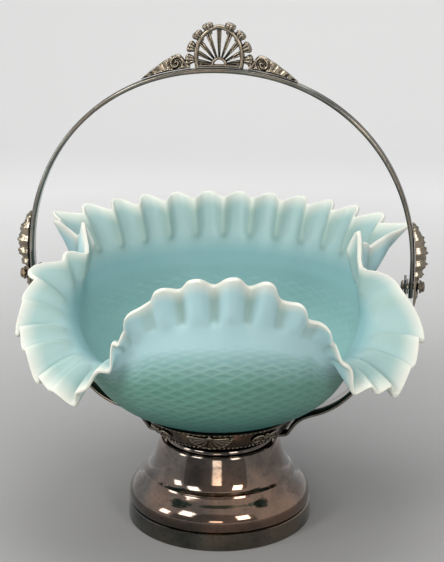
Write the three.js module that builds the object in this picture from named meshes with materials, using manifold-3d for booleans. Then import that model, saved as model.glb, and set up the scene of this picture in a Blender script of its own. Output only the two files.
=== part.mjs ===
// Brides basket: a crimped glass bowl on a silver plated stand with a swinging bail.
// Millimetres, +Z up. The origin is on the floor, on the axis of the round foot.
// +X and -X point to the two pivots of the bail, and -Y points to the arched front of the bowl.
import * as THREE from "three";
import { mergeVertices } from "three/addons/utils/BufferGeometryUtils.js";
import Module from "manifold-3d";

const wasm = await Module();
wasm.setup();

// Clearances shared by all pieces
const seatGap = 0.3;
const overrun = 4;
const pinPlay = 0.25;
const weldTolerance = 1e-4;

// Foot
const footRadius = 64;
const bandHeight = 12;
const bandWall = 3;
const bandDraw = 0.8;
const spunWall = 1.5;
const bellRadius = 63;
const stepRadius = 51.4;
const stepHeight = 33.2;
const beadSize = 1.1;
const neckRadius = 41;
const neckHeight = 57.4;
const neckLip = 1.4;
const wellDepth = 3.6;
const footFacets = 36;

// Stem drum, centre bolt and nut
const drumPlay = 1.4;
const drumHeight = 7;
const drumCrown = 2;
const boltRadius = 3;
const boltHeadRadius = 6;
const boltHeadHeight = 1.2;
const boltTail = 9;
const nutRadius = 6.5;
const nutHeight = 5;
const nutSides = 6;
const nutWasherRadius = 14;
const nutWasherThickness = 1.2;
const roundFacets = 16;

// Cup and its gallery border
const cupWall = 1.3;
const cupRows = 4;
const glassSeatClearance = 0.4;
const borderFlare = 10.5;
const borderWall = 1.4;
const borderLift = 1.2;
const borderCrown = 1;
const plaqueGap = 0.45;
const fanRadius = 16;
const fanRays = 9;
const fanRelief = 1.5;
const fanHub = 2.2;
const fanScallop = 1.1;
const fanFootShare = 0.38;
const fanSquashShare = 0.82;
const scrollRadius = 5.4;
const scrollWire = 1.7;
const scrollFacets = 5;
const scrollSpreadShare = 1.15;
const scrollBeadShare = 0.6;
const motifCount = 4;

// Lower straps
const strapWidth = 18;
const strapThickness = 1.8;
const strapEyeWidth = 12;
const strapBoltGap = 1.2;
const strapSteps = 36;
const strapTaperShare = 0.28;

// Bail
const hoopHalfWidth = 127;
const hoopRise = 127;
const hoopCentreHeight = 182.7;
const hoopSquareness = 2.1;
const bailWidth = 9;
const bailThickness = 3;
const reedDepth = 0.9;
const reedRidgeShare = 0.62;
const reedGrooveShare = 0.24;
const bailTailLength = 7;
const pivotHeight = 170;
const bailSteps = 44;
const hoopProbe = 0.02;

// Pivots
const pinRadius = 1.9;
const pinHeadRadius = 4;
const pinHeadThickness = 1.9;
const pinHeadEdgeShare = 0.4;
const knobRadius = 4.2;
const knobLength = 3.9;
const washerRadius = 5;
const washerThickness = 0.8;

// Side leaf castings
const leafClimbLength = 43;
const leafTailLength = 15;
const leafWidth = 13;
const leafRelief = 9;
const leafFloor = 1.7;
const leafShoulderShare = 0.8;
const leafSeatShare = 0.36;
const leafSeatMargin = 3;
const leafSteps = 25;

// Crest and wings
const crestRise = 27.6;
const crestWidth = 33;
const crestDepth = 5;
const archWire = 3.2;
const archFootSteps = 8;
const archFootShare = 0.94;
const archFlankShare = 1.16;
const archFlankHeightShare = 0.46;
const archCrownShare = 0.8;
const archCrownHeightShare = 0.93;
const hubRadius = 5.4;
const archFacets = 8;
const hubWire = 2.2;
const hubDepth = 3.6;
const spokeWidth = 2;
const spokeDepth = 2.8;
const spokeCount = 9;
const spokeReachShare = 0.9;
const budRadius = 4;
const wingSpan = 32;
const wingRise = 10;
const wingDepth = 5;
const wingEyeRadius = 1.9;
const wingEyeShare = 0.29;
const wingCrestGap = 2.4;
const wingSteps = 8;

// Glass bowl
const glassWall = 2.8;
const bowlStrapGap = 26.2;
const bowlBodyHeight = 147;
const bowlSeatRadius = 30;
const lipFlare = 19;
const rimHeight = 201;
const crimpCount = 32;
const crimpDepth = 6;
const crimpSharpness = 1.5;
const crimpLift = 3.4;
const crimpColumns = 6;
const bodyThinning = 3;
const rowProbe = 0.5;
const dipFollowShare = 0.26;
const dipInsetShare = 0.35;
const dipBendShare = 0.75;
const lipBendShare = 0.3;
const lipBendHeightShare = 0.55;

// Heights and reaches that follow from the sizes above
const wellRadius = neckRadius - neckLip - spunWall / 2;
const wellHeight = neckHeight - wellDepth;
const drumRadius = wellRadius - drumPlay;
const drumFloor = wellHeight + seatGap;
const drumTop = drumFloor + drumHeight;
const lugHeight = drumTop + seatGap + strapThickness / 2;
const cupFloor = lugHeight + strapThickness / 2 + seatGap;
const glassFloor = cupFloor + cupWall + boltHeadHeight + 2 * seatGap;
const hoopTop = hoopCentreHeight + hoopRise;
const crestFoot = hoopTop + bailThickness + seatGap;
const crestTop = crestFoot + crestRise;
const bailInnerX = hoopX(pivotHeight);
const bailOuterX = bailInnerX + bailThickness;
const strapX = bailInnerX - 2 * seatGap - washerThickness - strapThickness / 2;
const bowlBodyRadius = strapX - bowlStrapGap;
const rimRadius = bowlBodyRadius + lipFlare;

// Colours of the metal and the glass
const tarnish = { color: 0x8a8078, roughness: 0.22, metalness: 1 };
const darkTarnish = { color: 0x6b665c, roughness: 0.35, metalness: 1 };
const castMetal = { color: 0x7d7464, roughness: 0.42, metalness: 1 };
const brightMetal = { color: 0xa39a8c, roughness: 0.25, metalness: 1 };
const satinGlass = { color: 0x9fd6d3, roughness: 0.5, metalness: 0 };

const basket = new THREE.Group();

// Inner half width of the hoop at a height, from its superellipse
function hoopX(height) {
  const up = Math.abs(height - hoopCentreHeight) / hoopRise;
  return hoopHalfWidth * Math.pow(1 - Math.pow(up, hoopSquareness), 1 / hoopSquareness);
}

// Adds a named mesh of one finish to the group it belongs to
function addPiece(name, geometry, finish, parent = basket) {
  const mesh = new THREE.Mesh(geometry, new THREE.MeshStandardMaterial(finish));
  mesh.name = name;
  parent.add(mesh);
  return mesh;
}

// Turns a closed geometry into a solid for joining and cutting
function toSolid(geometry) {
  const plain = new THREE.BufferGeometry();
  plain.setAttribute("position", geometry.getAttribute("position").clone());
  if (geometry.index) plain.setIndex(geometry.index.clone());
  const merged = mergeVertices(plain, weldTolerance);
  return new wasm.Manifold(
    new wasm.Mesh({
      numProp: 3,
      vertProperties: new Float32Array(merged.attributes.position.array),
      triVerts: new Uint32Array(merged.index.array),
    }),
  );
}

// Turns a solid back into a geometry
function toGeometry(solid) {
  const mesh = solid.getMesh();
  const geometry = new THREE.BufferGeometry();
  geometry.setAttribute("position", new THREE.BufferAttribute(mesh.vertProperties, 3));
  geometry.setIndex(new THREE.BufferAttribute(mesh.triVerts, 1));
  geometry.computeVertexNormals();
  return geometry;
}

// Joins closed geometries into one
function joined(geometries) {
  const solids = geometries.map(toSolid);
  return toGeometry(solids.reduce((sum, next) => sum.add(next)));
}

// Cuts closed geometries out of the first
function cutBy(geometry, cutters) {
  const solids = cutters.map(toSolid);
  return toGeometry(solids.reduce((rest, next) => rest.subtract(next), toSolid(geometry)));
}

// Revolves a closed outline of [radius, height] points about Z
function turned(outline, facets) {
  const points = outline.map(([radius, height]) => new THREE.Vector2(radius, height));
  if (outline[0][0] > 0) points.push(points[0].clone());
  const area = THREE.ShapeUtils.area(points);
  if (area < 0) points.reverse();
  return new THREE.LatheGeometry(points, facets).rotateX(Math.PI / 2);
}

// Moves an open line of [radius, height] points inwards by a wall
function insetLine(line, wall) {
  return line.map((point, index) => {
    const before = line[Math.max(index - 1, 0)];
    const after = line[Math.min(index + 1, line.length - 1)];
    const along = new THREE.Vector2(after[0] - before[0], after[1] - before[1]).normalize();
    return [point[0] - along.y * wall, point[1] + along.x * wall];
  });
}

// Skins rings of points into a solid; a closed loft joins its last ring to its first
function lofted(rings) {
  const count = rings[0].length;
  const positions = rings.flat().flatMap((point) => [point.x, point.y, point.z]);
  const faces = [];
  for (let row = 0; row + 1 < rings.length; row += 1) {
    for (let i = 0; i < count; i += 1) {
      const a = row * count + i;
      const b = row * count + ((i + 1) % count);
      faces.push(a, b, b + count);
      faces.push(a, b + count, a + count);
    }
  }
  capFaces(rings[0]).forEach(([a, b, c]) => faces.push(a, c, b));
  const last = (rings.length - 1) * count;
  capFaces(rings.at(-1)).forEach(([a, b, c]) => faces.push(last + a, last + b, last + c));
  const geometry = new THREE.BufferGeometry();
  geometry.setAttribute("position", new THREE.Float32BufferAttribute(positions, 3));
  geometry.setIndex(faces);
  return facingOut(geometry);
}

// Triangles that close a flat ring, in the order of its points
function capFaces(ring) {
  const centre = ring.reduce((sum, point) => sum.add(point), new THREE.Vector3());
  centre.divideScalar(ring.length);
  const normal = new THREE.Vector3();
  ring.forEach((point, index) => {
    const next = ring[(index + 1) % ring.length];
    normal.add(point.clone().sub(centre).cross(next.clone().sub(centre)));
  });
  const across = ring[0].clone().sub(centre).normalize();
  const up = normal.normalize().clone().cross(across);
  const flat = ring.map((point) => {
    const arm = point.clone().sub(centre);
    return new THREE.Vector2(arm.dot(across), arm.dot(up));
  });
  return THREE.ShapeUtils.triangulateShape(flat, []);
}

// Turns the faces round where the enclosed volume comes out negative
function facingOut(geometry) {
  const solid = toSolid(geometry);
  if (solid.volume() < 0) {
    const order = geometry.index.array;
    for (let i = 0; i < order.length; i += 3) {
      [order[i + 1], order[i + 2]] = [order[i + 2], order[i + 1]];
    }
  }
  return geometry;
}

// Extrudes an outline drawn in X and Z by a depth centred on the plane Y = 0
function plate(shape, depth, curveSegments = archFacets) {
  const options = { depth, bevelEnabled: false, curveSegments };
  const geometry = new THREE.ExtrudeGeometry(shape, options);
  return geometry.translate(0, 0, -depth / 2).rotateX(Math.PI / 2);
}

// A cylinder along X between two places
function rodX(radius, from, to, facets = roundFacets) {
  const rod = new THREE.CylinderGeometry(radius, radius, Math.abs(to - from), facets);
  return rod.rotateZ(Math.PI / 2).translate((from + to) / 2, 0, 0);
}

// A cylinder along Z between two heights
function rodZ(radius, from, to, facets = roundFacets) {
  const rod = new THREE.CylinderGeometry(radius, radius, to - from, facets);
  return rod.rotateX(Math.PI / 2).translate(0, 0, (from + to) / 2);
}

// Copies a geometry to the other side of the plane X = 0
function mirroredX(geometry) {
  const copy = geometry.clone().scale(-1, 1, 1);
  const order = copy.index ? copy.index.array : null;
  if (order) {
    for (let i = 0; i < order.length; i += 3) {
      [order[i + 1], order[i + 2]] = [order[i + 2], order[i + 1]];
    }
  }
  return copy;
}

// Foot: a plain band that rests on the floor, and the spun bell and trumpet neck that it carries

// Outer line of the bell up to its ring, as shares [inwards, upwards]
const bellShares = [
  [0.02, 0.05],
  [0, 0.12],
  [0.02, 0.37],
  [0.13, 0.51],
  [0.29, 0.63],
  [0.49, 0.74],
  [0.69, 0.84],
];

// Outer line of the neck from the ring to its lip, as shares [inwards, upwards]
const neckShares = [
  [0.09, 0.055],
  [0.21, 0.09],
  [0.42, 0.22],
  [0.58, 0.4],
  [0.75, 0.65],
  [0.92, 0.9],
];

function addFoot() {
  const innerBand = footRadius - bandWall;
  const band = [
    [innerBand, 0],
    [footRadius, 0],
    [footRadius, bandDraw],
    [footRadius - bandDraw, bandHeight],
    [innerBand, bandHeight],
  ];
  addPiece("base_band", turned(band, footFacets), darkTarnish);
  const start = bandHeight + seatGap;
  const skin = [
    [bellRadius - beadSize, start],
    ...between(bellShares, [bellRadius, start], [stepRadius, stepHeight]),
    [stepRadius + beadSize, stepHeight - beadSize / 2],
    [stepRadius + beadSize / 2, stepHeight + beadSize / 2],
    ...between(neckShares, [stepRadius, stepHeight], [neckRadius, neckHeight]),
    [neckRadius, neckHeight - beadSize / 2],
    [neckRadius - beadSize / 2, neckHeight],
  ];
  const ceiling = wellHeight - spunWall;
  const hole = boltRadius + pinPlay;
  const underside = insetLine(skin, spunWall).filter(([, height]) => height < ceiling - spunWall);
  const outline = [
    ...skin,
    [wellRadius + beadSize / 2, neckHeight],
    [wellRadius, neckHeight - beadSize / 2],
    [wellRadius, wellHeight],
    [hole, wellHeight],
    [hole, ceiling],
    [neckRadius - spunWall / 2, ceiling],
    ...underside.reverse(),
  ];
  addPiece("foot_shell", turned(outline, footFacets), tarnish);
}

// Points of a share table between two [radius, height] ends
function between(shares, from, to) {
  return shares.map(([along, up]) => [
    THREE.MathUtils.lerp(from[0], to[0], along),
    THREE.MathUtils.lerp(from[1], to[1], up),
  ]);
}

// Stem drum: a short collar in the well of the foot, under the straps

// Side of the drum as [crown, height]
const drumShares = [
  [0, 0],
  [0.67, 0.22],
  [1, 0.5],
  [0.67, 0.78],
  [0, 1],
];

function addDrum() {
  const side = between(drumShares, [drumRadius - drumCrown, drumFloor], [drumRadius, drumTop]);
  const outline = [[boltRadius + pinPlay, drumFloor], ...side, [boltRadius + pinPlay, drumTop]];
  addPiece("stem_drum", turned(outline, footFacets), tarnish);
}

// Centre bolt from the cup's floor to a nut and washer under the foot

function addCentreBolt() {
  const headTop = cupFloor + cupWall + seatGap + boltHeadHeight;
  const headFloor = headTop - boltHeadHeight;
  const tail = wellHeight - spunWall - boltTail;
  const bolt = [
    [0, tail],
    [boltRadius, tail],
    [boltRadius, headFloor],
    [boltHeadRadius, headFloor],
    [boltHeadRadius, headTop],
    [0, headTop],
  ];
  addPiece("centre_bolt", turned(bolt, roundFacets), darkTarnish);
  const washerTop = wellHeight - spunWall - seatGap;
  const hole = boltRadius + pinPlay;
  const washer = [
    [hole, washerTop - nutWasherThickness],
    [nutWasherRadius, washerTop - nutWasherThickness],
    [nutWasherRadius, washerTop],
    [hole, washerTop],
  ];
  addPiece("nut_washer", turned(washer, roundFacets), darkTarnish);
  const nutTop = washerTop - nutWasherThickness - seatGap;
  const nut = rodZ(nutRadius, nutTop - nutHeight, nutTop, nutSides);
  const bore = rodZ(hole, nutTop - nutHeight - overrun, nutTop + overrun);
  addPiece("centre_nut", cutBy(nut, [bore]), darkTarnish);
}

// Outer line of the glass body from its seat to the lip, as [radius, height]
const bodyShares = [
  [0.1, 0.07],
  [0.19, 0.119],
  [0.294, 0.161],
  [0.412, 0.206],
  [0.529, 0.263],
  [0.647, 0.34],
  [0.765, 0.442],
  [0.868, 0.572],
  [0.949, 0.721],
  [0.993, 0.876],
  [1, 1],
];

function bodyLine() {
  const reach = bowlBodyRadius - bowlSeatRadius;
  const rise = bowlBodyHeight - glassFloor;
  const line = bodyShares.map(([out, up]) => [bowlSeatRadius + out * reach, glassFloor + up * rise]);
  return [[bowlSeatRadius, glassFloor], ...line];
}

// Cup: a shallow spun dish that follows the underside of the glass

function cupLines() {
  const seat = bodyLine().slice(0, cupRows);
  const inner = seat.map(([radius, height]) => [radius + glassSeatClearance, height - glassSeatClearance]);
  const outer = inner.map(([radius, height]) => [radius + cupWall, height - cupWall / 2]);
  return { inner, outer };
}

function addCup() {
  const { inner, outer } = cupLines();
  const floor = cupFloor + cupWall;
  const outline = [
    [boltRadius + pinPlay, cupFloor],
    [bowlSeatRadius, cupFloor],
    ...outer.slice(1),
    ...inner.slice(1).reverse(),
    [bowlSeatRadius - cupWall, floor],
    [boltRadius + pinPlay, floor],
  ];
  addPiece("cup", turned(outline, footFacets), tarnish);
}

// Gallery border: a flared strip round the cup with applied fans and scrolls

const borderFoot = cupFloor + borderLift;
const [cupRimRadius, cupRimHeight] = cupLines().outer.at(-1);
const borderRise = cupRimHeight + borderCrown - borderFoot;
const borderSlope = borderFlare / borderRise;
const borderSeat = seatGap * Math.hypot(1, borderSlope);
const borderFootRadius = cupRimRadius + borderSeat - (cupRimHeight - borderFoot) * borderSlope;

function addBorder() {
  const top = borderFoot + borderRise;
  const crown = borderFootRadius + borderFlare;
  const outline = [
    [borderFootRadius, borderFoot],
    [borderFootRadius + borderWall, borderFoot],
    [crown + borderWall, top],
    [crown, top],
  ];
  addPiece("gallery_strip", turned(outline, footFacets), castMetal);
  const tilt = Math.atan(borderSlope);
  const turnStep = (2 * Math.PI) / motifCount;
  for (let i = 0; i < motifCount; i += 1) {
    const holder = onBorder(i * turnStep, tilt);
    addPiece("fan_" + (i + 1), fanPlaque(), castMetal, holder);
    const midway = onBorder((i + 0.5) * turnStep, tilt);
    addPiece("scroll_" + (i + 1), scrollPlaque(), castMetal, midway);
  }
}

// A group on the strip's outer face: its Y points out of the face and its Z up the slope
function onBorder(turn, tilt) {
  const spin = new THREE.Group();
  spin.rotation.z = turn;
  basket.add(spin);
  const face = new THREE.Group();
  const middle = borderFootRadius + borderWall + borderFlare / 2;
  face.position.set(0, -middle, borderFoot + borderRise / 2);
  face.rotation.x = tilt;
  spin.add(face);
  return face;
}

// Half round shell of rays that curves with the strip, lofted from ray to ray
function fanPlaque() {
  const foot = borderRise * fanFootShare;
  const middle = (fanHub + fanRadius) / 2;
  const rings = [];
  for (let i = 0; i <= 2 * fanRays; i += 1) {
    const turn = Math.PI * (1 + i / (2 * fanRays));
    const ridge = i % 2 === 1;
    const tip = ridge ? fanRadius : fanRadius - fanScallop;
    const relief = ridge ? fanRelief : fanRelief / 2;
    const section = [
      [fanHub, 0],
      [middle, 0],
      [tip, 0],
      [tip, relief / 2],
      [middle, relief],
      [fanHub, relief],
    ];
    rings.push(
      section.map(([reach, rise]) => {
        const z = foot + reach * Math.sin(turn) * fanSquashShare;
        return new THREE.Vector3(reach * Math.cos(turn), -rise, z);
      }),
    );
  }
  return bentOverStrip(lofted(rings), 0);
}

// A pair of scroll eyes with a bead between them
function scrollPlaque() {
  const eye = scrollRadius;
  const side = (way) => {
    const ring = new THREE.Shape();
    const centre = way * eye * scrollSpreadShare;
    ring.absarc(centre, 0, eye, 0, 2 * Math.PI);
    const hole = new THREE.Path();
    hole.absarc(centre, 0, eye - scrollWire, 0, 2 * Math.PI, true);
    ring.holes.push(hole);
    return plate(ring, fanRelief, scrollFacets);
  };
  const bead = new THREE.Shape();
  bead.absarc(0, 0, eye * scrollBeadShare, 0, 2 * Math.PI);
  const parts = [side(-1), side(1), plate(bead, fanRelief, scrollFacets)];
  return bentOverStrip(joined(parts), fanRelief);
}

// Moves points of a flat plaque back so that it follows the round strip with a small gap
function bentOverStrip(geometry, depth) {
  const tilt = Math.atan(borderSlope);
  const middle = borderFootRadius + borderWall + borderFlare / 2;
  const places = geometry.getAttribute("position");
  const slack = depth / 2 + plaqueGap;
  for (let i = 0; i < places.count; i += 1) {
    const x = places.getX(i);
    const round = middle + places.getZ(i) * Math.sin(tilt);
    const sag = round - Math.sqrt(round * round - x * x);
    places.setY(i, places.getY(i) - slack + sag * Math.cos(tilt));
  }
  return geometry;
}

// Lower straps: flat arms from under the cup to the pivots

// Middle line of a strap from the cup's edge to the pivot, as [outwards, upwards]
const strapShares = [
  [0.25, 0],
  [0.354, 0],
  [0.381, 0.008],
  [0.405, 0.044],
  [0.432, 0.085],
  [0.463, 0.115],
  [0.507, 0.138],
  [0.58, 0.168],
  [0.66, 0.222],
  [0.733, 0.299],
  [0.805, 0.39],
  [0.868, 0.482],
  [0.938, 0.63],
  [0.985, 0.81],
];

function strapCurve() {
  const [start, end] = [[0, lugHeight], [strapX, pivotHeight]];
  const points = between(strapShares, start, end).map(([x, z]) => new THREE.Vector3(x, 0, z));
  points.unshift(new THREE.Vector3(boltRadius + strapBoltGap, 0, lugHeight));
  points.push(new THREE.Vector3(strapX, 0, pivotHeight - strapEyeWidth / 2));
  points.push(new THREE.Vector3(strapX, 0, pivotHeight + strapEyeWidth / 2));
  return new THREE.CatmullRomCurve3(points, false, "centripetal");
}

function strapGeometry() {
  const curve = strapCurve();
  const half = strapThickness / 2;
  const rings = [];
  for (let i = 0; i <= strapSteps; i += 1) {
    const share = i / strapSteps;
    const place = curve.getPointAt(share);
    const along = curve.getTangentAt(share);
    const out = new THREE.Vector3(along.z, 0, -along.x);
    const taper = Math.max(0, 1 - (1 - share) / strapTaperShare);
    const width = THREE.MathUtils.lerp(strapWidth, strapEyeWidth, taper * taper) / 2;
    const corner = (side, face) =>
      place.clone().addScaledVector(out, face * half).setY(side * width);
    rings.push([corner(-1, -1), corner(1, -1), corner(1, 1), corner(-1, 1)]);
  }
  const hole = rodX(pinRadius + pinPlay, strapX - overrun, strapX + overrun);
  return cutBy(lofted(rings), [hole.translate(0, 0, pivotHeight)]);
}

function addStraps() {
  const strap = strapGeometry();
  addPiece("strap_right", strap, darkTarnish);
  addPiece("strap_left", mirroredX(strap), darkTarnish);
}

// Bail: a reeded strap bent to a hoop, with an eye at each end

// Point of the hoop's inner line; the turn is 0 at the top and grows towards +X
function hoopPoint(turn) {
  const power = 2 / hoopSquareness;
  const sine = Math.sin(turn);
  const cosine = Math.cos(turn);
  const x = hoopHalfWidth * Math.sign(sine) * Math.pow(Math.abs(sine), power);
  const z = hoopCentreHeight + hoopRise * Math.sign(cosine) * Math.pow(Math.abs(cosine), power);
  return new THREE.Vector3(x, 0, z);
}

// Turn at which the hoop passes a height; below its widest place it is past a quarter turn
function hoopTurnAt(height) {
  const up = (height - hoopCentreHeight) / hoopRise;
  return Math.PI / 2 - Math.sign(up) * Math.asin(Math.pow(Math.abs(up), hoopSquareness / 2));
}

// Outward normal of the hoop at a turn, found from two near points
function hoopNormal(turn) {
  const along = hoopPoint(turn + hoopProbe).sub(hoopPoint(turn - hoopProbe)).normalize();
  return new THREE.Vector3(-along.z, 0, along.x);
}

// Points of the hoop at even steps, with the ends running straight down past the pivots
function hoopStations() {
  const last = hoopTurnAt(pivotHeight);
  const stations = [];
  const tail = { x: bailInnerX, z: pivotHeight - bailTailLength };
  stations.push({ place: new THREE.Vector3(-tail.x, 0, tail.z), out: new THREE.Vector3(-1, 0, 0) });
  for (let i = 0; i <= bailSteps; i += 1) {
    const turn = last * ((2 * i) / bailSteps - 1);
    const out = hoopNormal(turn);
    const atEnd = i === 0 || i === bailSteps;
    if (atEnd) out.set(Math.sign(turn), 0, 0);
    stations.push({ place: hoopPoint(turn), out });
  }
  stations.push({ place: new THREE.Vector3(tail.x, 0, tail.z), out: new THREE.Vector3(1, 0, 0) });
  return stations;
}

function bailGeometry() {
  const half = bailWidth / 2;
  const groove = bailThickness - reedDepth;
  const section = [
    [-half, 0],
    [half, 0],
    [half, groove],
    [half * reedRidgeShare, bailThickness],
    [half * reedGrooveShare, groove],
    [-half * reedGrooveShare, groove],
    [-half * reedRidgeShare, bailThickness],
    [-half, groove],
  ];
  const rings = hoopStations().map(({ place, out }) =>
    section.map(([y, rise]) => place.clone().addScaledVector(out, rise).setY(y)),
  );
  const holes = [-1, 1].map((side) => {
    const from = side * (bailInnerX - overrun);
    const to = side * (bailOuterX + overrun);
    return rodX(pinRadius + pinPlay, from, to).translate(0, 0, pivotHeight);
  });
  return cutBy(lofted(rings), holes);
}

// Side castings: a leaf that climbs the outside of the bail, with a tongue below the pivot

// The leaf from its tongue to its tip, as [place, width, relief]
const leafShares = [
  [0, 0.1, 0.12],
  [0.08, 0.36, 0.2],
  [0.15, 0.52, 0.34],
  [0.27, 0.72, 0.36],
  [0.35, 0.72, 0.4],
  [0.4, 0.9, 0.7],
  [0.46, 0.72, 0.6],
  [0.52, 0.96, 0.95],
  [0.59, 0.76, 0.8],
  [0.66, 1, 1],
  [0.73, 0.74, 0.78],
  [0.81, 0.84, 0.8],
  [0.88, 0.6, 0.48],
  [0.94, 0.5, 0.42],
  [1, 0.08, 0.14],
];

// Width and relief of the leaf at a share of its length
function leafAt(share) {
  const index = Math.max(leafShares.findIndex(([at]) => at >= share), 1);
  const [from, to] = [leafShares[index - 1], leafShares[index]];
  const mix = (share - from[0]) / (to[0] - from[0]);
  const width = THREE.MathUtils.lerp(from[1], to[1], mix);
  const relief = THREE.MathUtils.lerp(from[2], to[2], mix);
  return [width * leafWidth, relief * leafRelief];
}

function leafGeometry() {
  const base = bailThickness + seatGap;
  const rings = [];
  for (let i = 0; i <= leafSteps; i += 1) {
    const share = i / leafSteps;
    const height = pivotHeight - leafTailLength + share * (leafClimbLength + leafTailLength);
    const straight = height < pivotHeight;
    const turn = hoopTurnAt(Math.max(height, pivotHeight));
    const place = straight ? new THREE.Vector3(bailInnerX, 0, height) : hoopPoint(turn);
    const out = straight ? new THREE.Vector3(1, 0, 0) : hoopNormal(turn);
    const [width, bulge] = leafAt(share);
    const seated = Math.abs(height - pivotHeight) < knobRadius + leafSeatMargin;
    const relief = seated ? leafRelief * leafSeatShare : bulge;
    const half = width / 2;
    const shoulder = base + relief * leafShoulderShare;
    const section = [
      [-half, base],
      [half, base],
      [half, base + leafFloor / 2],
      [half / 2, shoulder],
      [0, base + relief],
      [-half / 2, shoulder],
      [-half, base + leafFloor / 2],
    ];
    rings.push(section.map(([y, rise]) => place.clone().addScaledVector(out, rise).setY(y)));
  }
  const hole = rodX(pinRadius + pinPlay, bailOuterX - overrun, bailOuterX + leafRelief + overrun);
  return cutBy(lofted(rings), [hole.translate(0, 0, pivotHeight)]);
}

// Pivot pins with a turned knob outside and a flat head inside

// Knob from the leaf to its tip, as [radius, length]
const knobShares = [
  [1, 0],
  [1.04, 0.3],
  [0.8, 0.5],
  [0.84, 0.72],
  [0.5, 0.94],
];

function pinGeometry() {
  const headOuter = strapX - strapThickness / 2 - seatGap;
  const knobFrom = bailOuterX + seatGap + leafRelief * leafSeatShare + seatGap;
  const head = headOuter - pinHeadThickness;
  const outline = [
    [0, head],
    [pinHeadRadius, head + pinHeadThickness * pinHeadEdgeShare],
    [pinHeadRadius, headOuter],
    [pinRadius, headOuter],
    [pinRadius, knobFrom],
    ...between(knobShares, [0, knobFrom], [knobRadius, knobFrom + knobLength]),
    [0, knobFrom + knobLength],
  ];
  return turned(outline, roundFacets).rotateY(Math.PI / 2).translate(0, 0, pivotHeight);
}

function pivotWasher() {
  const from = strapX + strapThickness / 2 + seatGap;
  const hole = pinRadius + pinPlay;
  const outline = [
    [hole, from],
    [washerRadius, from],
    [washerRadius, from + washerThickness],
    [hole, from + washerThickness],
  ];
  return turned(outline, roundFacets).rotateY(Math.PI / 2).translate(0, 0, pivotHeight);
}

// Crest: a pierced fan under a pointed horseshoe arch, with flower buds round it

function crestGeometry() {
  const half = crestWidth / 2;
  const outer = new THREE.Shape();
  archLine(outer, half, crestFoot, crestRise);
  const inner = new THREE.Shape();
  archLine(inner, half - archWire, crestFoot + archWire, crestRise - 2 * archWire);
  const window = plate(inner, crestDepth + overrun, archFacets);
  const parts = [cutBy(plate(outer, crestDepth, archFacets), [window])];
  const hubHeight = crestFoot + archWire / 2;
  const hub = new THREE.Shape();
  hub.absarc(0, hubHeight, hubRadius, 0, Math.PI);
  hub.absarc(0, hubHeight, hubRadius - hubWire, Math.PI, 0, true);
  parts.push(plate(hub, hubDepth, archFacets));
  for (let i = 0; i < spokeCount; i += 1) {
    const lean = ((i + 0.5) / spokeCount) * Math.PI - Math.PI / 2;
    const length = spokeReach(lean, half) - archWire / 2 - hubRadius + hubWire;
    const spoke = new THREE.BoxGeometry(spokeWidth, spokeDepth, length);
    spoke.translate(0, 0, hubRadius - hubWire / 2 + length / 2);
    parts.push(spoke.rotateY(lean).translate(0, 0, hubHeight));
  }
  budShares.forEach(([out, up]) => {
    [-1, 1].forEach((side) => {
      const bud = new THREE.OctahedronGeometry(budRadius, 1);
      parts.push(bud.translate(side * out * half, 0, crestFoot + up * crestRise));
    });
  });
  return followTop(joined(parts));
}

// Flower buds beside the arch, as [outwards, upwards]
const budShares = [
  [0.42, 0.9],
  [0.8, 0.72],
  [1.04, 0.47],
  [1.13, 0.2],
];

// Horseshoe with a slightly pointed top
function archLine(path, half, foot, height) {
  const [footX, flankX, crownX] = [half * archFootShare, half * archFlankShare, half * archCrownShare];
  const flankZ = foot + height * archFlankHeightShare;
  const crownZ = foot + height * archCrownHeightShare;
  path.moveTo(-footX, foot);
  path.bezierCurveTo(-flankX, flankZ, -crownX, crownZ, 0, foot + height);
  path.bezierCurveTo(crownX, crownZ, flankX, flankZ, footX, foot);
  for (let i = 1; i < archFootSteps; i += 1) path.lineTo(footX * (1 - (2 * i) / archFootSteps), foot);
}

// Distance from the hub to the middle of the arch along a leaning spoke
function spokeReach(lean, half) {
  const wide = half * spokeReachShare;
  const tall = crestRise * spokeReachShare;
  return 1 / Math.hypot(Math.sin(lean) / wide, Math.cos(lean) / tall);
}

// Lets the crest sink with the hoop away from its top, so that it stays on the bail
function followTop(geometry) {
  const places = geometry.getAttribute("position");
  for (let i = 0; i < places.count; i += 1) {
    const x = places.getX(i);
    const fall = hoopTop + bailThickness - outerHoopHeight(x);
    const fade = Math.max(0, (crestTop - places.getZ(i)) / crestRise);
    places.setZ(i, places.getZ(i) - fall * fade);
  }
  return geometry;
}

// Height of the bail's outer face at a distance from the middle
function outerHoopHeight(x) {
  const wide = hoopHalfWidth + bailThickness;
  const tall = hoopRise + bailThickness;
  const share = Math.min(Math.abs(x) / wide, 1);
  return hoopCentreHeight + tall * Math.pow(1 - Math.pow(share, hoopSquareness), 1 / hoopSquareness);
}

// Wings: scrolled leaves that taper down the bail on each side of the crest

// Upper line of a wing, as [along, upwards]
const wingShares = [
  [0, 0.12],
  [0.12, 0.18],
  [0.17, 0.72],
  [0.24, 1],
  [0.34, 0.96],
  [0.42, 0.68],
  [0.51, 0.76],
  [0.6, 0.5],
  [0.69, 0.56],
  [0.78, 0.32],
  [0.87, 0.35],
  [1, 0.06],
];

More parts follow.
